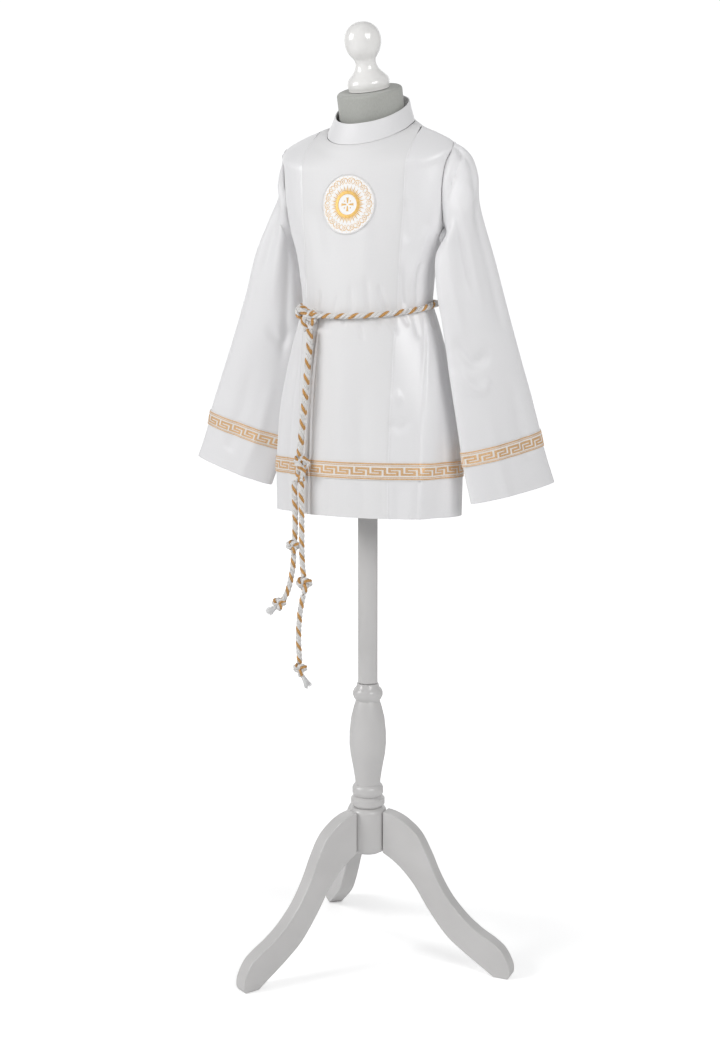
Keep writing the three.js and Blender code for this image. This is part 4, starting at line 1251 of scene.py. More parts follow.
# ---- galloon -------------------------------------------------------------------------
@dataclass
class Galloon:
    """The woven ribbon with its key pattern; sizes in millimetres."""

    finishes: Finishes
    stitch_tree: bpy.types.NodeTree
    repeat_tree: bpy.types.NodeTree
    height: float = 28.0
    lift: float = 0.35
    thickness: float = 1.0
    raise_by: float = 0.3
    pitch: float = 26.8
    key_height: float = 15.4

    # one unit of the key, top row first; '#' is gold
    CHART = (".#####", ".#...#", ".###.#", "...#.#", "####.#")
    # the chart's columns and rows, against each other
    COLUMNS = (1.6, 2.0, 4.0, 2.0, 1.6, 2.0)
    ROWS = (1.6, 0.9, 1.6, 0.9, 1.6)
    # the border lines' two sides, from the ribbon's edge
    SOLID_LINE = (0.9, 2.4)
    DASHED_LINE = (3.2, 4.2)
    DASHES = 16
    DASH_SHARE = 0.72
    # the longest straight face that still follows the cloth
    FACE = 3.0
    EDGE_STITCHES = (0.02, 0.98)

    def unit_mesh(self) -> bpy.types.Object:
        """One unit: the key and its share of the border lines, flat, foot at Y = 0."""
        widths, heights = np.array(self.COLUMNS), np.array(self.ROWS)
        xs = np.concatenate([[0], np.cumsum(widths)]) * self.pitch / widths.sum()
        ys = np.concatenate([[0], np.cumsum(heights)]) * self.key_height / heights.sum()
        top = (self.height + self.key_height) / 2
        cells = []
        for j, row in enumerate(self.CHART):
            for i, mark in enumerate(row):
                if mark == "#":
                    cells.append((xs[i], xs[i + 1], top - ys[j + 1], top - ys[j]))
        lines = ((self.SOLID_LINE, self.DASHES // 2, 1.0), (self.DASHED_LINE, self.DASHES, self.DASH_SHARE))
        for (near, far), count, share in lines:
            steps = np.linspace(0, self.pitch, count + 1)
            for low, high in ((near, far), (self.height - far, self.height - near)):
                cells += [(a, a + share * (b - a), low, high) for a, b in zip(steps[:-1], steps[1:])]
        vertices, faces = [], []
        for x0, x1, y0, y1 in cells:
            parts = max(1, round((x1 - x0) / self.FACE))
            for k in range(parts):
                a, b = x0 + (x1 - x0) * k / parts, x0 + (x1 - x0) * (k + 1) / parts
                n = len(vertices)
                for z in (0.0, self.raise_by):
                    vertices += [(a, y0, z), (b, y0, z), (b, y1, z), (a, y1, z)]
                faces += [(n + 3, n + 2, n + 1, n), (n + 4, n + 5, n + 6, n + 7)]
                faces += [(n + i, n + (i + 1) % 4, n + 4 + (i + 1) % 4, n + 4 + i) for i in range(4)]
        return new_object("key_unit", np.array(vertices), faces)

    def build(self, node: str, surface: Surface, turns: np.ndarray, foot: float, head: float) -> None:
        """One ribbon with its pattern and its two rows of stitches.

        Args:
            node: the CAD node that it replaces.
            surface: the cloth that it lies on.
            turns: angles from one end of the ribbon to the other.
            foot: the place of its lower edge.
            head: the place of its upper edge.
        """
        turn, place = np.meshgrid(turns, np.linspace(foot, head, 9))
        points, normals = surface.frame(turn, place)
        outer = points + normals * (self.lift + self.thickness)
        piece = shell(f"ribbon_{node}", Frame.place(outer), normals, self.thickness * MM)
        dress(piece, self.finishes.ribbon, "galloon", node)
        middle = outer[4]
        run = run_along(middle)
        count = round(run[-1] / self.pitch)
        unit_piece = self.unit_mesh()
        pattern = baked(unit_piece, self.repeat_tree, {
            "Count": count, "Pitch": self.pitch, "Thread": self.finishes.gold_thread})
        pattern.name = pattern.data.name = f"key_{node}"
        flat = corners_of(pattern)
        spot = np.interp(flat[:, 0] * run[-1] / (count * self.pitch), run, turns)
        where, facing = surface.frame(spot, foot + (head - foot) * flat[:, 1] / self.height)
        lifted = where + facing * (self.lift + self.thickness - 0.05 + flat[:, 2:3])
        put_corners(pattern, Frame.place(lifted))
        if surface.sign * (turns[-1] - turns[0]) * (head - foot) < 0:
            pattern.data.flip_normals()
        pattern.data.update()
        dress(pattern, None, "galloon")
        edges = []
        for share in self.EDGE_STITCHES:
            line, facing = surface.frame(turns, np.full(len(turns), foot + (head - foot) * share))
            edges.append(Frame.place(line + facing * (self.lift + self.thickness)))
        stitches = baked(polyline(f"stitches_{node}", edges), self.stitch_tree, {
            "Pitch": 2.6 * MM, "Length": 1.9 * MM, "Radius": 0.2 * MM,
            "Thread": self.finishes.white_thread})
        dress(stitches, None, "galloon")


# ---- embroidered patch ---------------------------------------------------------------
@dataclass
class Patch:
    """The round patch with a plain sun, a cross and a ring of leaves; sizes in millimetres."""

    finishes: Finishes
    body: Body
    round_tree: bpy.types.NodeTree
    stitch_tree: bpy.types.NodeTree
    waves: int = 18
    radius: float = 46.0
    height: float = 1232.0
    lift: float = 0.05
    thickness: float = 0.6
    rim_stitches: int = 620
    rays: int = 28

    def on_front(self, flat: np.ndarray) -> np.ndarray:
        """Flat points, in millimetres with height as Z, laid on the front."""
        x, z = flat[:, 0], self.height + flat[:, 1]
        low, high = np.full(len(x), 9.0), np.full(len(x), 15.0)
        for _ in range(22):
            place = (low + high) / 2
            half = row_at(Body.ROWS, place)[:, 3]
            point = self.body.plain(np.arcsin(x / half), place)
            below = point[:, 2] < z
            low, high = np.where(below, place, low), np.where(below, high, place)
        half = row_at(Body.ROWS, low)[:, 3]
        point, normal = self.body.frame(np.arcsin(x / half), low)
        return Frame.place(point + normal * flat[:, 2:3])

    def laid(self, piece: bpy.types.Object) -> bpy.types.Object:
        """Move a flat piece's mesh onto the front."""
        put_corners(piece, self.on_front(corners_of(piece)))
        piece.data.update()
        return piece

    def plate(self, name: str, inner: float, outer: float, low: float, high: float) -> bpy.types.Object:
        """A flat disc or ring, rounded at its edges, between two heights."""
        count, rings = 120, 14
        radii = np.linspace(inner, outer, rings)
        vertices, faces = [], []
        for level in (low, high):
            for k, r in enumerate(radii):
                edge = 0.3 * (high - low) if level == high and k in (0, rings - 1) and inner > 0 else 0
                for i in range(count):
                    a = 2 * math.pi * i / count
                    vertices.append((r * math.cos(a), r * math.sin(a), level - edge))
        layer = rings * count
        for k in range(rings - 1):
            for i in range(count):
                a, b = k * count + i, k * count + (i + 1) % count
                c, d = b + count, a + count
                faces += [(a, b, c, d), (layer + a, layer + d, layer + c, layer + b)]
        for i in range(count):
            n = (i + 1) % count
            a, b = (rings - 1) * count + i, (rings - 1) * count + n
            faces += [(i, layer + i, layer + n, n), (b, layer + b, layer + a, a)]
        uvs = np.array(vertices)[:, :2] * MM
        return new_object(name, np.array(vertices), faces, uvs, sharp=60)

    def motif(self, name: str, outline: list[tuple[float, float]], thick: float) -> bpy.types.Object:
        """A small raised stitch shape, its outline domed to a middle point."""
        n = len(outline)
        cx, cy = (sum(values) / n for values in zip(*outline))
        base = self.lift + self.thickness
        vertices = [(x, y, base - 0.05) for x, y in outline]
        vertices += [(cx + 0.72 * (x - cx), cy + 0.6 * (y - cy), base + thick) for x, y in outline]
        vertices.append((cx, cy, base + 1.25 * thick))
        faces = [tuple(range(n))[::-1]]
        for i in range(n):
            k = (i + 1) % n
            faces += [(i, k, n + k, n + i), (n + i, n + k, 2 * n)]
        return new_object(name, np.array(vertices), faces)

    @staticmethod
    def dot(radius: float, corners: int) -> list[tuple[float, float]]:
        """A small round outline."""
        turns = np.linspace(0, 2 * math.pi, corners, endpoint=False)
        return [(radius * math.cos(a), radius * math.sin(a)) for a in turns]

    def ring_of(self, name: str, outline: list[tuple[float, float]], count: int, radius: float,
                turn: float, material: bpy.types.Material, thick: float = 0.5) -> None:
        """A motif repeated round the patch.

        Args:
            name: the piece's name.
            outline: the motif's outline, its own +X pointing outwards.
            count: how many there are.
            radius: how far they are from the patch's middle.
            turn: how far the whole ring is turned.
            material: their thread.
            thick: how far they stand up.
        """
        piece = baked(self.motif(name, outline, thick), self.round_tree, {
            "Count": count, "Radius": radius, "Turn": turn, "Thread": material})
        dress(self.laid(piece), None, "embroidery")

    def build(self) -> None:
        """The patch, its satin-stitched rim and its gold work."""
        f = self.finishes
        top = self.lift + self.thickness
        base = self.plate("patch_ground", 0.01, self.radius - 0.4, self.lift, top)
        dress(self.laid(base), f.patch, "embroidery", "medallion")
        rim = [(-1.5, -0.17), (1.5, -0.17), (1.5, 0.17), (-1.5, 0.17)]
        self.ring_of("patch_rim", rim, self.rim_stitches, self.radius - 1.5, 0.0, f.patch_thread, 0.4)
        sun = self.plate("patch_sun_ring", 15.6, 20.4, top - 0.1, top + 0.55)
        dress(self.laid(sun), f.sun_thread, "embroidery")
        long_ray = [(0, -1.0), (4, -0.75), (9.5, 0), (4, 0.75), (0, 1.0)]
        short_ray = [(0, -0.8), (3, -0.5), (5.4, 0), (3, 0.5), (0, 0.8)]
        self.ring_of("patch_long_rays", long_ray, self.rays, 20.0, 0.0, f.sun_thread)
        self.ring_of("patch_short_rays", short_ray, self.rays, 20.0, math.pi / self.rays,
                     f.sun_thread)
        arm = [(0.8, 0.0), (2.2, -1.0), (8.6, -1.7), (9.8, -2.6), (9.8, 2.6), (8.6, 1.7), (2.2, 1.0)]
        self.ring_of("patch_cross", arm, 4, 0.6, 0.0, f.sun_thread, 0.6)
        bead = self.dot(1.1, 8)
        self.ring_of("patch_cross_beads", bead, 4, 7.2, math.pi / 4, f.sun_thread)
        self.tracery()
        leaf = [(0, -0.2), (1.2, -0.8), (2.6, -0.7), (4.2, 0), (2.6, 0.7), (1.2, 0.8), (0, 0.2)]
        self.ring_of("patch_leaves", leaf, self.waves, 33.4, math.pi / self.waves / 2,
                     f.sun_thread, 0.3)
        self.ring_of("patch_outer_dots", self.dot(0.5, 6), 2 * self.waves, 42.0, 0.0, f.sun_thread, 0.3)

    def tracery(self) -> None:
        """Waving gold lines round the sun, each a run of short stitches."""
        runs = []
        turns = np.linspace(0, 2 * math.pi, 420)
        for middle, swing, phase in ((35.5, 4.2, 0.0), (35.5, 4.2, math.pi), (38.8, 1.4, math.pi / 2)):
            radius = middle + swing * np.sin(self.waves * turns + phase)
            flat = np.stack([radius * np.cos(turns), radius * np.sin(turns),
                             np.full(len(turns), self.lift + self.thickness + 0.12)], -1)
            runs.append(self.on_front(flat))
        piece = baked(polyline("patch_tracery", runs), self.stitch_tree, {
            "Pitch": 1.5 * MM, "Length": 1.45 * MM, "Radius": 0.25 * MM,
            "Thread": self.finishes.sun_thread})
        dress(piece, None, "embroidery")


# ---- girdle --------------------------------------------------------------------------
@dataclass
class Girdle:
    """The twisted cord round the waist with its knots and hanging ends; metres."""

    finishes: Finishes
    body: Body
    rope_tree: bpy.types.NodeTree
    stitch_tree: bpy.types.NodeTree
    diameter: float = 0.0096
    lay: float = 0.0236
    knot_lay: float = 0.0225
    step: float = 0.0022

    # points of each cord's middle line, in metres from the post's axis at the floor
    ROUTES = {
        "drop_front": ((-.0545, -.0958, 1.042), (-.053, -.0986, 1.020), (-.0552, -.101, .988),
                       (-.0569, -.1036, .956), (-.0594, -.105, .924), (-.0633, -.1063, .885),
                       (-.067, -.1076, .8465)),
        "drop_rear": ((-.058, -.086, 1.042), (-.0565, -.089, 1.020), (-.0587, -.0914, .988),
                      (-.0604, -.094, .956),
                      (-.0629, -.0954, .924), (-.0668, -.0967, .885), (-.0705, -.098, .8465)),
        "short_upper": ((-.0755, -.107, .806), (-.076, -.107, .790), (-.0752, -.107, .767),
                        (-.0752, -.107, .735),
                        (-.0765, -.107, .712)),
        "short_lower": ((-.0782, -.107, .689), (-.0795, -.107, .671), (-.083, -.107, .652),
                        (-.0875, -.107, .635),
                        (-.093, -.107, .622), (-.098, -.107, .6145)),
        "long_upper": ((-.064, -.107, .806), (-.0636, -.107, .790), (-.0636, -.107, .767),
                       (-.0634, -.107, .735),
                       (-.0636, -.107, .700), (-.0624, -.107, .672), (-.0605, -.107, .6555)),
        "long_lower": ((-.0615, -.107, .6255), (-.065, -.107, .610), (-.068, -.107, .592),
                       (-.070, -.107, .570),
                       (-.0704, -.107, .548), (-.0694, -.107, .528), (-.0684, -.107, .5148)),
    }
    # each frayed end's start and end from the post's axis, and its radius at both, in millimetres
    TIPS = {"tip_short": ((-114, -107, 600.2), (-125, -107, 592), 3.4, 7.0),
            "tip_long": ((-62.6, -107, 492.6), (-53, -107, 478), 3.0, 6.0)}
    YARNS = 60
    GOLDEN_TURN = 2.39996
    FACES_OF_ONE_COLOUR = 60
    SEED = 5
    # the knots and tips that each cord carries
    CARRIED = {"drop_front": ("knot_double",), "drop_rear": (), "short_upper": ("knot_short_mid",),
               "short_lower": ("knot_short_end", "tip_short"), "long_upper": ("knot_long_mid",),
               "long_lower": ("knot_long_end", "tip_long")}

    def rope(self, name: str, points: np.ndarray, closed: bool = False,
             diameter: float | None = None, lay: float | None = None) -> bpy.types.Object:
        """A laid rope along points in the part's frame."""
        line = polyline(name, [points], closed)
        return baked(line, self.rope_tree, {
            "Step": self.step, "Lay": lay or self.lay, "Radius": (diameter or self.diameter) / 2,
            "White": self.finishes.white_strand, "Gold": self.finishes.gold_strand})

    def route(self, name: str, step: float = 0.002) -> np.ndarray:
        """A smooth line through a route's points."""
        marks = np.array(self.ROUTES[name]) + Frame.AXIS
        dense = row_at(marks, np.linspace(0, len(marks) - 1, 200))
        run = run_along(dense)
        even = np.linspace(0, run[-1], max(3, round(run[-1] / step)))
        return np.stack([np.interp(even, run, dense[:, k]) for k in range(3)], -1)

    def build_cords(self) -> None:
        """The hanging cords with their knots and tips."""
        knots, tips = self.build_knots(), self.build_tips()
        for name, carried in self.CARRIED.items():
            line = self.route(name)
            piece = dress(self.rope(f"rope_{name}", line), None, "girdle_cord", f"cord_{name}")
            [(knots | tips)[node] for node in carried]

    def build_waist(self) -> None:
        """The cord round the waist, from one side of the main knot to the other."""
        clear = self.diameter / MM / 2 + 1
        turns = np.linspace(math.radians(-18), math.radians(-45) + 2 * math.pi, 260)
        wrapped = np.where(turns > math.pi, turns - 2 * math.pi, turns)
        place = np.full(len(turns), float(Body.BELT))
        normal = self.body.plain_normal(wrapped, place)
        normal[:, 2] = 0
        points = self.body.plain(wrapped, place) + unit(normal) * clear
        ends = np.array([(-49, -97.5, 1064), (-69, -95.5, 1065)])
        points = np.vstack([ends[:1], points[4:-4], ends[1:]])
        piece = self.rope("rope_waist", Frame.place(points))
        dress(piece, None, "girdle_cord", "girdle_waist")

    def knot_lines(self) -> dict[str, list[tuple[list, bool, float]]]:
        """Each knot's loops: points in millimetres round its middle, closed or not, and thickness."""
        def loop(cx: float, cz: float, rx: float, rz: float, tilt: float, dip: float,
                 y: float = -3.0) -> list:
            """An oval loop seen from the front, its sides at different depths."""
            lean = math.radians(tilt)
            out = []
            for a in np.linspace(0, 2 * math.pi, 40, endpoint=False):
                x, z = rx * math.cos(a), rz * math.sin(a)
                out.append((cx + x * math.cos(lean) - z * math.sin(lean), y + dip * math.cos(a),
                            cz + x * math.sin(lean) + z * math.cos(lean)))
            return out

        def overhand(size: float, wide: float, tall: float, deep: float) -> list:
            """A three-lobed overhand knot pulled tight."""
            out = []
            for a in np.linspace(0, 2 * math.pi, 72, endpoint=False):
                out.append((size * wide * (math.sin(a) + 1.6 * math.sin(2 * a)) / 2,
                            size * deep * math.sin(3 * a),
                            size * tall * (math.cos(a) - 1.6 * math.cos(2 * a) + 0.46) / 2))
            return out

        return {
            "knot_main": [
                (loop(-10, 5, 5.6, 8.6, 24, 3.5), True, 9.4),
                (loop(8, -2, 5.4, 9.6, -14, -3.5), True, 9.4),
                ([(-18, 3, 8), (-12, -6, 9), (-3, -11, 5), (5, -10, -1), (9, -2, -10)], False, 9.4),
                ([(16, 1, 3), (9, -7, 5), (1, -10, 0), (-5, -8, -8), (-5, -4, -16), (-3, -2, -22)],
                 False, 9.4),
                (loop(-1, 1, 5, 7, 60, 2, 1), True, 9.4)],
            "knot_double": [
                (loop(3, 8, 6.8, 5.6, 10, 4, 0), True, 9.2),
                (loop(-2, -8, 6.8, 5.4, -14, -4, 0), True, 9.2),
                ([(-8, 2, 18), (-5, -6, 10), (6, -9, 2), (6, -5, -8), (-6, -2, -19)], False, 9.4),
                ([(4, -2, 19), (7, 1, 9), (-3, 4, 0), (-6, 0, -8), (4, -3, -19)], False, 9.4)],
            "knot_short_mid": [(overhand(6.6, 1.0, 1.08, 0.6), True, 9.2)],
            "knot_short_end": [(overhand(6.2, 1.05, 1.0, 0.6), True, 9.0)],
            "knot_long_mid": [(overhand(7.2, 1.05, 1.3, 0.6), True, 9.4)],
            "knot_long_end": [(overhand(6.4, 1.0, 1.1, 0.6), True, 9.0)],
        }

    def build_knots(self) -> dict[str, bpy.types.Object]:
        """The knots, wound from the same rope, by the nodes that they replace."""
        made = {}
        for node, loops in self.knot_lines().items():
            low, high = (np.array(corner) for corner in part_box(node))
            middle = (low + high) / 2
            parts = []
            for k, (points, closed, thick) in enumerate(loops):
                line = np.array(points, float)
                if not closed:
                    line = row_at(line, np.linspace(0, len(line) - 1, 40))
                parts.append(self.rope(f"{node}_turn_{k}", line * MM + middle, closed, thick * MM,
                                       self.knot_lay))
            piece = joined(f"rope_{node}", parts)
            made[node] = dress(piece, None, "girdle_cord", node)
        return made

    def build_tips(self) -> dict[str, bpy.types.Object]:
        """The frayed ends, loose yarns that spread from the last knots, by their nodes."""
        made = {}
        rng = np.random.default_rng(self.SEED)
        for node, (start, end, neck, mouth) in self.TIPS.items():
            start, end = np.array(start, float), np.array(end, float)
            way = unit(end - start)
            side = unit(np.cross(way, (0, 1, 0)))
            up = np.cross(side, way)
            start = start - way * 4
            runs = []
            for k in range(self.YARNS):
                spread, turn = math.sqrt((k + 0.5) / self.YARNS), self.GOLDEN_TURN * k
                across = (side * math.cos(turn) + up * math.sin(turn)) * spread
                reach = np.linalg.norm(end - start) * rng.uniform(0.82, 1.06)
                t = np.linspace(0, 1, 7)[:, None]
                bend = across * (neck + (mouth - neck) * t ** 1.6) + way * reach * t
                sway = rng.normal(0, 0.5, 3) * t * t
                runs.append(Frame.place(start + bend + sway))
            piece = baked(polyline(f"rope_{node}", runs), self.stitch_tree, {
                "Pitch": 1.6 * MM, "Length": 2.0 * MM, "Radius": 0.42 * MM,
                "Thread": self.finishes.white_thread})
            piece.data.materials.append(self.finishes.gold_strand)
            lengths = np.arange(len(piece.data.polygons)) // self.FACES_OF_ONE_COLOUR
            gold = np.where(lengths % 3 == 0, 1, 0).astype(np.int32)
            piece.data.polygons.foreach_set("material_index", gold)
            made[node] = dress(piece, None, "girdle_cord", node)
        return made


def joined(name: str, parts: list[bpy.types.Object]) -> bpy.types.Object:
    """Several meshes joined as one piece."""
    with bpy.context.temp_override(active_object=parts[0], selected_editable_objects=parts):
        bpy.ops.object.join()
    parts[0].name = parts[0].data.name = name
    return parts[0]


# ---- dress form and stand ------------------------------------------------------------
@dataclass
class DressForm:
    """The grey form, its neck block and the turned finial; sizes in millimetres."""

    finishes: Finishes
    tilt: float = math.radians(18)
    neck_y: float = 5.0
    neck_z: float = 1411.5
    neck_radius: float = 51.0
    edge: float = 5.0

    # points in a ring, and the side seam's depth as a share of the neck block's radius
    COLUMNS = 96
    SIDE_SEAM = 0.018
    TORSO = np.array([
        (850, 850, 850, 108, 74, 82, 0), (856, 856, 856, 113, 79, 87, 0),
        (920, 920, 920, 114, 79, 86, 0),
        (975, 975, 975, 108, 76, 80, 0), (1030, 1032, 1034, 98, 74, 73, 0),
        (1080, 1086, 1088, 93, 71, 70, 0),
        (1130, 1136, 1138, 97, 68, 73, 0), (1190, 1192, 1192, 112, 64, 76, 0),
        (1240, 1250, 1248, 128, 61, 74, 1),
        (1264, 1290, 1282, 134, 61, 69, 3), (1279, 1312, 1305, 130, 62, 65, 5),
        (1290, 1324, 1327, 112, 63, 60, 8),
        (1301, 1335, 1344, 86, 64, 55, 12), (1310, 1341, 1356, 68, 63, 50, 15),
        (1318, 1346, 1364, 57, 58, 47, 16),
    ], float)
    NECK = np.array([
        (1318.5, 1346.5, 1364.5, 56.5, 57.5, 46.5, 16), (1330, 1353, 1369, 52.5, 54, 47.5, 18),
        (1354, 1372, 1388, 51, 51.5, 50.5, 16), (1385, 1401, 1417, 51, 51, 51, 8),
    ], float)
    FINIAL = ((0, 0), (29, 0), (32, 3), (33.3, 8), (33, 13), (30, 18.5), (24, 24.5), (18.8, 31),
              (16.4, 38),
              (16.4, 43), (18, 47.5), (21.8, 52.5), (25.8, 59), (28.2, 66.5), (28.8, 73),
              (28.2, 79.5), (26, 86.5),
              (22, 92.5), (15.5, 98), (8, 101.2), (0, 102))

    def turns(self) -> np.ndarray:
        """The angles of a ring's points."""
        return np.linspace(0, 2 * math.pi, self.COLUMNS, endpoint=False)

    def rings(self, table: np.ndarray, rows: int) -> np.ndarray:
        """A table's ovals on a smooth curve."""
        turn, place = np.meshgrid(self.turns(), np.linspace(0, len(table) - 1, rows))
        return oval(row_at(table, place), turn)

    def build(self) -> None:
        """Torso, neck block with its side seam, and finial."""
        torso = loft("form_body", self.rings(self.TORSO, 90))
        add_cut(torso)
        dress(torso, self.finishes.jersey, "form_jersey", "form_torso")
        rise = math.tan(self.tilt)
        caps = []
        for drop in np.linspace(0, 1, 9):
            bend = drop * math.pi / 2
            radius = self.neck_radius - self.edge * (1 - math.cos(bend))
            fall = self.edge * (1 - math.sin(bend))
            z = self.neck_z - fall
            caps.append((z - radius * rise, z, z + radius * rise, radius, radius, radius,
                         self.neck_y + fall * rise))
        neck_rings = self.rings(self.NECK, 20)
        cap_rings = np.stack([oval(np.array(row), self.turns()) for row in caps])
        rings = np.concatenate([neck_rings, cap_rings])
        for column in (self.COLUMNS // 4, 3 * self.COLUMNS // 4):
            rings[:, column] += (rings.mean(1) - rings[:, column]) * self.SIDE_SEAM
        neck = loft("form_neck_block", rings)
        add_cut(neck)
        dress(neck, self.finishes.jersey, "form_jersey", "form_neck")
        finial = turned("form_finial_turning", self.FINIAL)
        clear = 0.3 / math.cos(self.tilt)
        foot = Vector(Frame.place((0, self.neck_y, self.neck_z + clear)))
        finial.data.transform(Matrix.Translation(foot) @ Matrix.Rotation(self.tilt, 4, "X"))
        dress(finial, self.finishes.lacquer, "white_lacquer", "form_finial")


def add_cut(piece: bpy.types.Object) -> None:
    """A UV map named cut, wrapped round the upright in metres."""
    mesh = piece.data
    layer = mesh.uv_layers.new(name="cut")
    middle = Frame.AXIS
    for loop in mesh.loops:
        spot = np.array(mesh.vertices[loop.vertex_index].co) - middle
        layer.data[loop.index].uv = (math.atan2(spot[0], -spot[1]) * 0.1, spot[2])


def turned(name: str, profile: tuple, smooth: int = 3) -> bpy.types.Object:
    """A turning about the upright through (0, 0, 0), from radius and height in millimetres."""
    marks = np.array(profile, float)
    dense = row_at(marks, np.linspace(0, len(marks) - 1, (len(marks) - 1) * smooth + 1))
    dense[:, 0] = np.maximum(dense[:, 0], 0)
    inner = dense[1:-1]
    count = 72
    angles = 2 * math.pi * np.arange(count) / count
    rings = np.stack([inner[:, None, 0] * np.cos(angles), inner[:, None, 0] * np.sin(angles),
                      np.broadcast_to(inner[:, None, 1], (len(inner), count))], -1)
    vertices = np.concatenate([rings.reshape(-1, 3), [(0, 0, dense[0, 1]), (0, 0, dense[-1, 1])]]) * MM
    faces = ring_faces(len(inner), count)
    foot, head, last = len(vertices) - 2, len(vertices) - 1, (len(inner) - 1) * count
    for i in range(count):
        faces += [(foot, (i + 1) % count, i), (head, last + i, last + (i + 1) % count)]
    return new_object(name, vertices, faces, sharp=38)


@dataclass
class Stand:
    """The turned post, hub, pole and three S-shaped legs; sizes in millimetres."""

    finishes: Finishes
    leg_thickness: float = 25.0
    leg_rounding: float = 5.0
    # degrees from straight ahead, seen from above
    directions: tuple[float, ...] = (-27, 93, -139)

    POST = ((0, 258), (25, 258), (28, 261.5), (28, 270.5), (25.5, 273.5), (22, 275),
            (23.5, 276.5), (25.5, 280),
            (25.5, 289), (23.5, 293), (20.5, 295), (21, 302), (24, 322), (28.5, 346),
            (30.3, 364), (30, 384),
            (27.5, 408), (22.5, 428), (19.5, 437), (22.5, 441), (24.5, 446), (24.5, 451),
            (22.5, 456), (19, 459),
            (17.5, 465.6), (0, 465.6))
    HUB = ((0, 179), (22, 179), (28, 182.5), (30.3, 187), (31, 193), (31, 246), (30, 252),
           (27, 256), (22, 257.6),
           (0, 257.6))
    POLE = ((0, 466), (14.5, 466), (16, 467.5), (16, 500), (16, 849.5), (14.5, 849.7), (0, 849.7))
    LEG_TOP = ((31.4, 253), (48, 250), (68, 241), (92, 221), (110, 190), (127, 153), (148, 119),
               (174, 91),
               (199, 72), (222, 59), (240, 45), (252, 24), (254, 8), (250, 0))
    LEG_UNDER = ((226, 0), (205, 14), (172, 36), (142, 60), (112, 98), (86, 137), (58, 166),
                 (31.4, 183))

    def leg(self, name: str, direction: float) -> bpy.types.Object:
        """One leg board with rounded long edges."""
        top = row_at(np.array(self.LEG_TOP), np.linspace(0, len(self.LEG_TOP) - 1, 66))
        under = row_at(np.array(self.LEG_UNDER), np.linspace(0, len(self.LEG_UNDER) - 1, 36))
        outline = np.concatenate([top, under])
        outline[:, 1] = np.maximum(outline[:, 1], 0)
        half, count = self.leg_thickness / 2, len(outline)
        vertices = [(side * half, -r, z) for side in (-1, 1) for r, z in outline]
        faces = [tuple(range(count)), tuple(range(count, 2 * count))[::-1]]
        faces += [(i, count + i, count + (i + 1) % count, (i + 1) % count) for i in range(count)]
        piece = new_object(name, np.array(vertices) * MM, faces, sharp=35)
        turn = Matrix.Rotation(math.radians(direction), 4, "Z")
        piece.data.transform(Matrix.Translation(Vector(Frame.AXIS)) @ turn)
        bevel = piece.modifiers.new("rounding", "BEVEL")
        bevel.width, bevel.segments, bevel.limit_method = self.leg_rounding * MM, 4, "ANGLE"
        bevel.angle_limit, bevel.harden_normals = math.radians(60), False
        return piece

    def build(self) -> None:
        """Post, hub, pole and legs."""
        for name, profile, node in (("stand_post_turning", self.POST, "stand_post"),
                                    ("stand_hub_turning", self.HUB, "stand_hub"),
                                    ("stand_pole_rod", self.POLE, "stand_pole")):
            piece = turned(name, profile, 1)
            piece.data.transform(Matrix.Translation(Vector(Frame.AXIS)))
            dress(piece, self.finishes.paint, "grey_paint", node)
        for number, direction in enumerate(self.directions, 1):
            piece = self.leg(f"stand_leg_board_{number}", direction)
            dress(piece, self.finishes.paint, "grey_paint", f"stand_leg_{number}")


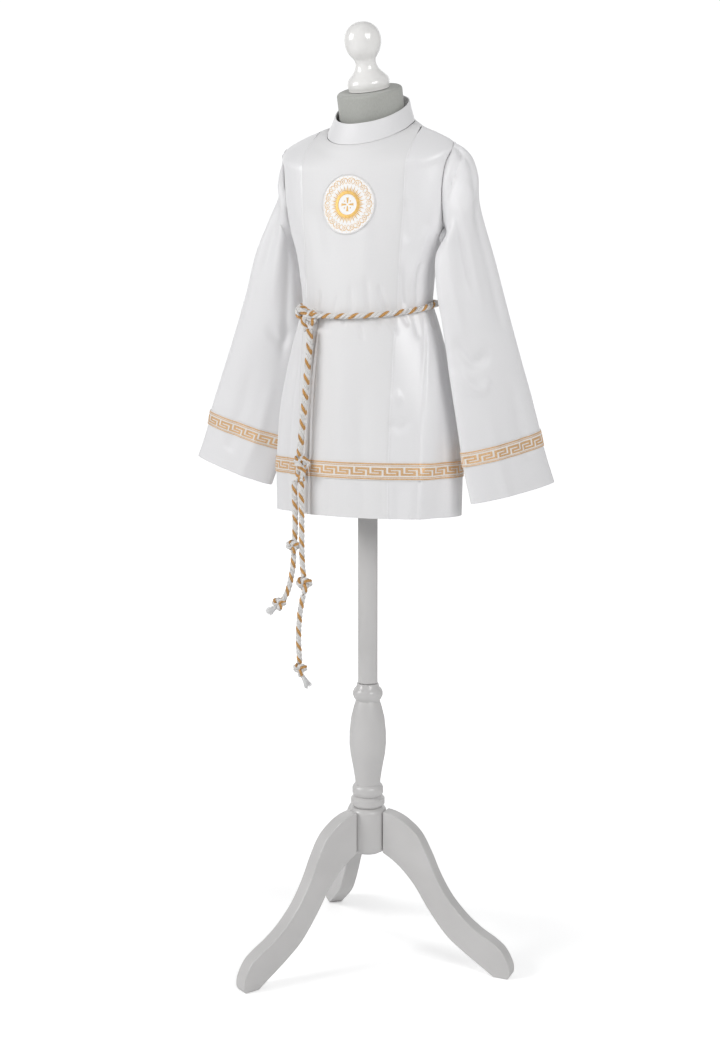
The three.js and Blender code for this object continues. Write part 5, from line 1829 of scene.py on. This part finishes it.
# ---- studio --------------------------------------------------------------------------
@dataclass
class Studio:
    """Camera, floor and soft light; metres."""

    turn: float = math.radians(26)
    distance: float = 2.48
    height: float = 1.092
    pitch: float = math.radians(8.42)
    long_side: float = 36.0
    lens: float = 52.99
    shift: float = -0.0074
    far: float = 60.0
    room: float = 0.34
    backdrop: float = 1.05
    floor_radius: float = 14.0
    aim_height: float = 1.05

    # each light's place, size and power
    LIGHTS = {"key": ((-2.6, -2.3, 2.4), 1.6, 74), "side": ((2.7, -1.7, 2.4), 1.5, 52)}
    # how squarely a direction has to point behind the piece before it meets the backdrop
    BACKDROP_EDGE = (0.62, 0.86)
    FLOOR_CORNERS = 64

    def camera(self) -> None:
        """The camera, upright and a little above the waist."""
        data = bpy.data.cameras.new("studio_camera")
        data.sensor_fit, data.sensor_height, data.lens = "VERTICAL", self.long_side, self.lens
        data.shift_x = self.shift
        data.clip_end = self.far
        eye = bpy.data.objects.new("studio_camera", data)
        way = Vector((math.sin(self.turn), -math.cos(self.turn), 0))
        eye.location = Vector(Frame.AXIS) + way * self.distance + Vector((0, 0, self.height))
        eye.rotation_euler = (math.pi / 2 - self.pitch, 0, self.turn)
        bpy.context.collection.objects.link(eye)
        bpy.context.scene.camera = eye

    def light(self, name: str, place: tuple, size: float, power: float) -> None:
        """A square soft light that faces the middle of the garment."""
        data = bpy.data.lights.new(name, "AREA")
        data.size, data.energy = size, power
        lamp = bpy.data.objects.new(name, data)
        lamp.location = Vector(place)
        aim = Vector(Frame.AXIS) + Vector((0, 0, self.aim_height)) - lamp.location
        lamp.rotation_euler = aim.to_track_quat("-Z", "Y").to_euler()
        bpy.context.collection.objects.link(lamp)

    def build(self, finishes: Finishes) -> None:
        """Floor, world and lights."""
        ring, radius = self.FLOOR_CORNERS, self.floor_radius
        rim = [(radius * math.cos(2 * math.pi * k / ring), radius * math.sin(2 * math.pi * k / ring), 0)
               for k in range(ring)]
        floor = new_object("studio_floor", np.array(rim), [tuple(range(ring))])
        floor.data.materials.append(finishes.floor)
        world = bpy.data.worlds.new("studio")
        world.use_nodes = True
        t = Tree(world.node_tree)
        sky = world.node_tree.nodes["Background"]
        sky.inputs["Color"].default_value = (0.99, 0.995, 1, 1)
        behind = (-math.sin(self.turn), math.cos(self.turn), 0)
        toward = t.vector("DOT_PRODUCT", t.node("ShaderNodeTexCoord").outputs["Generated"], behind)
        start, full = self.BACKDROP_EDGE
        level = t.node("ShaderNodeMapRange", {
            "Value": toward, "From Min": start, "From Max": full,
            "To Min": self.room, "To Max": self.backdrop}, interpolation_type="SMOOTHSTEP")
        seen = t.node("ShaderNodeLightPath").outputs["Is Camera Ray"]
        t.tree.links.new(t.math("MAXIMUM", level.outputs[0], t.math("MULTIPLY", seen, self.backdrop)),
                         sky.inputs["Strength"])
        bpy.context.scene.world = world
        bpy.context.scene.view_settings.view_transform = "Standard"
        for name, (place, size, power) in self.LIGHTS.items():
            self.light(name, place, size, power)


# ---- the whole -----------------------------------------------------------------------
def main() -> None:
    """Build everything in order and report it."""
    logging.basicConfig(level=logging.INFO, format="%(name)s %(message)s")
    studio = Studio()
    studio.camera()
    finishes = Finishes()
    alb = Alb(finishes)
    girdle = Girdle(finishes, alb.body, Trees.rope(), alb.stitch_tree)
    girdle.build_cords()
    studio.build(finishes)
    alb.build()
    galloon = Galloon(finishes, alb.stitch_tree, Trees.repeat_along())
    around = np.linspace(math.pi / 2 + 0.004, math.pi / 2 + 2 * math.pi - 0.004, 420)
    wrapped_body = WrappedBody(alb.body)
    galloon.build("band_body", wrapped_body, around, Body.BAND_FOOT, Body.BAND_HEAD)
    for side, shape in alb.sleeves.items():
        turns = np.linspace(math.pi + 0.01, 3 * math.pi - 0.01, 200)
        galloon.build(f"band_sleeve_{side}", shape, turns, Sleeve.BAND_FOOT, Sleeve.BAND_HEAD)
    Patch(finishes, alb.body, Trees.repeat_round(), alb.stitch_tree).build()
    girdle.build_waist()
    DressForm(finishes).build()
    Stand(finishes).build()


if __name__ == "__main__":
    main()
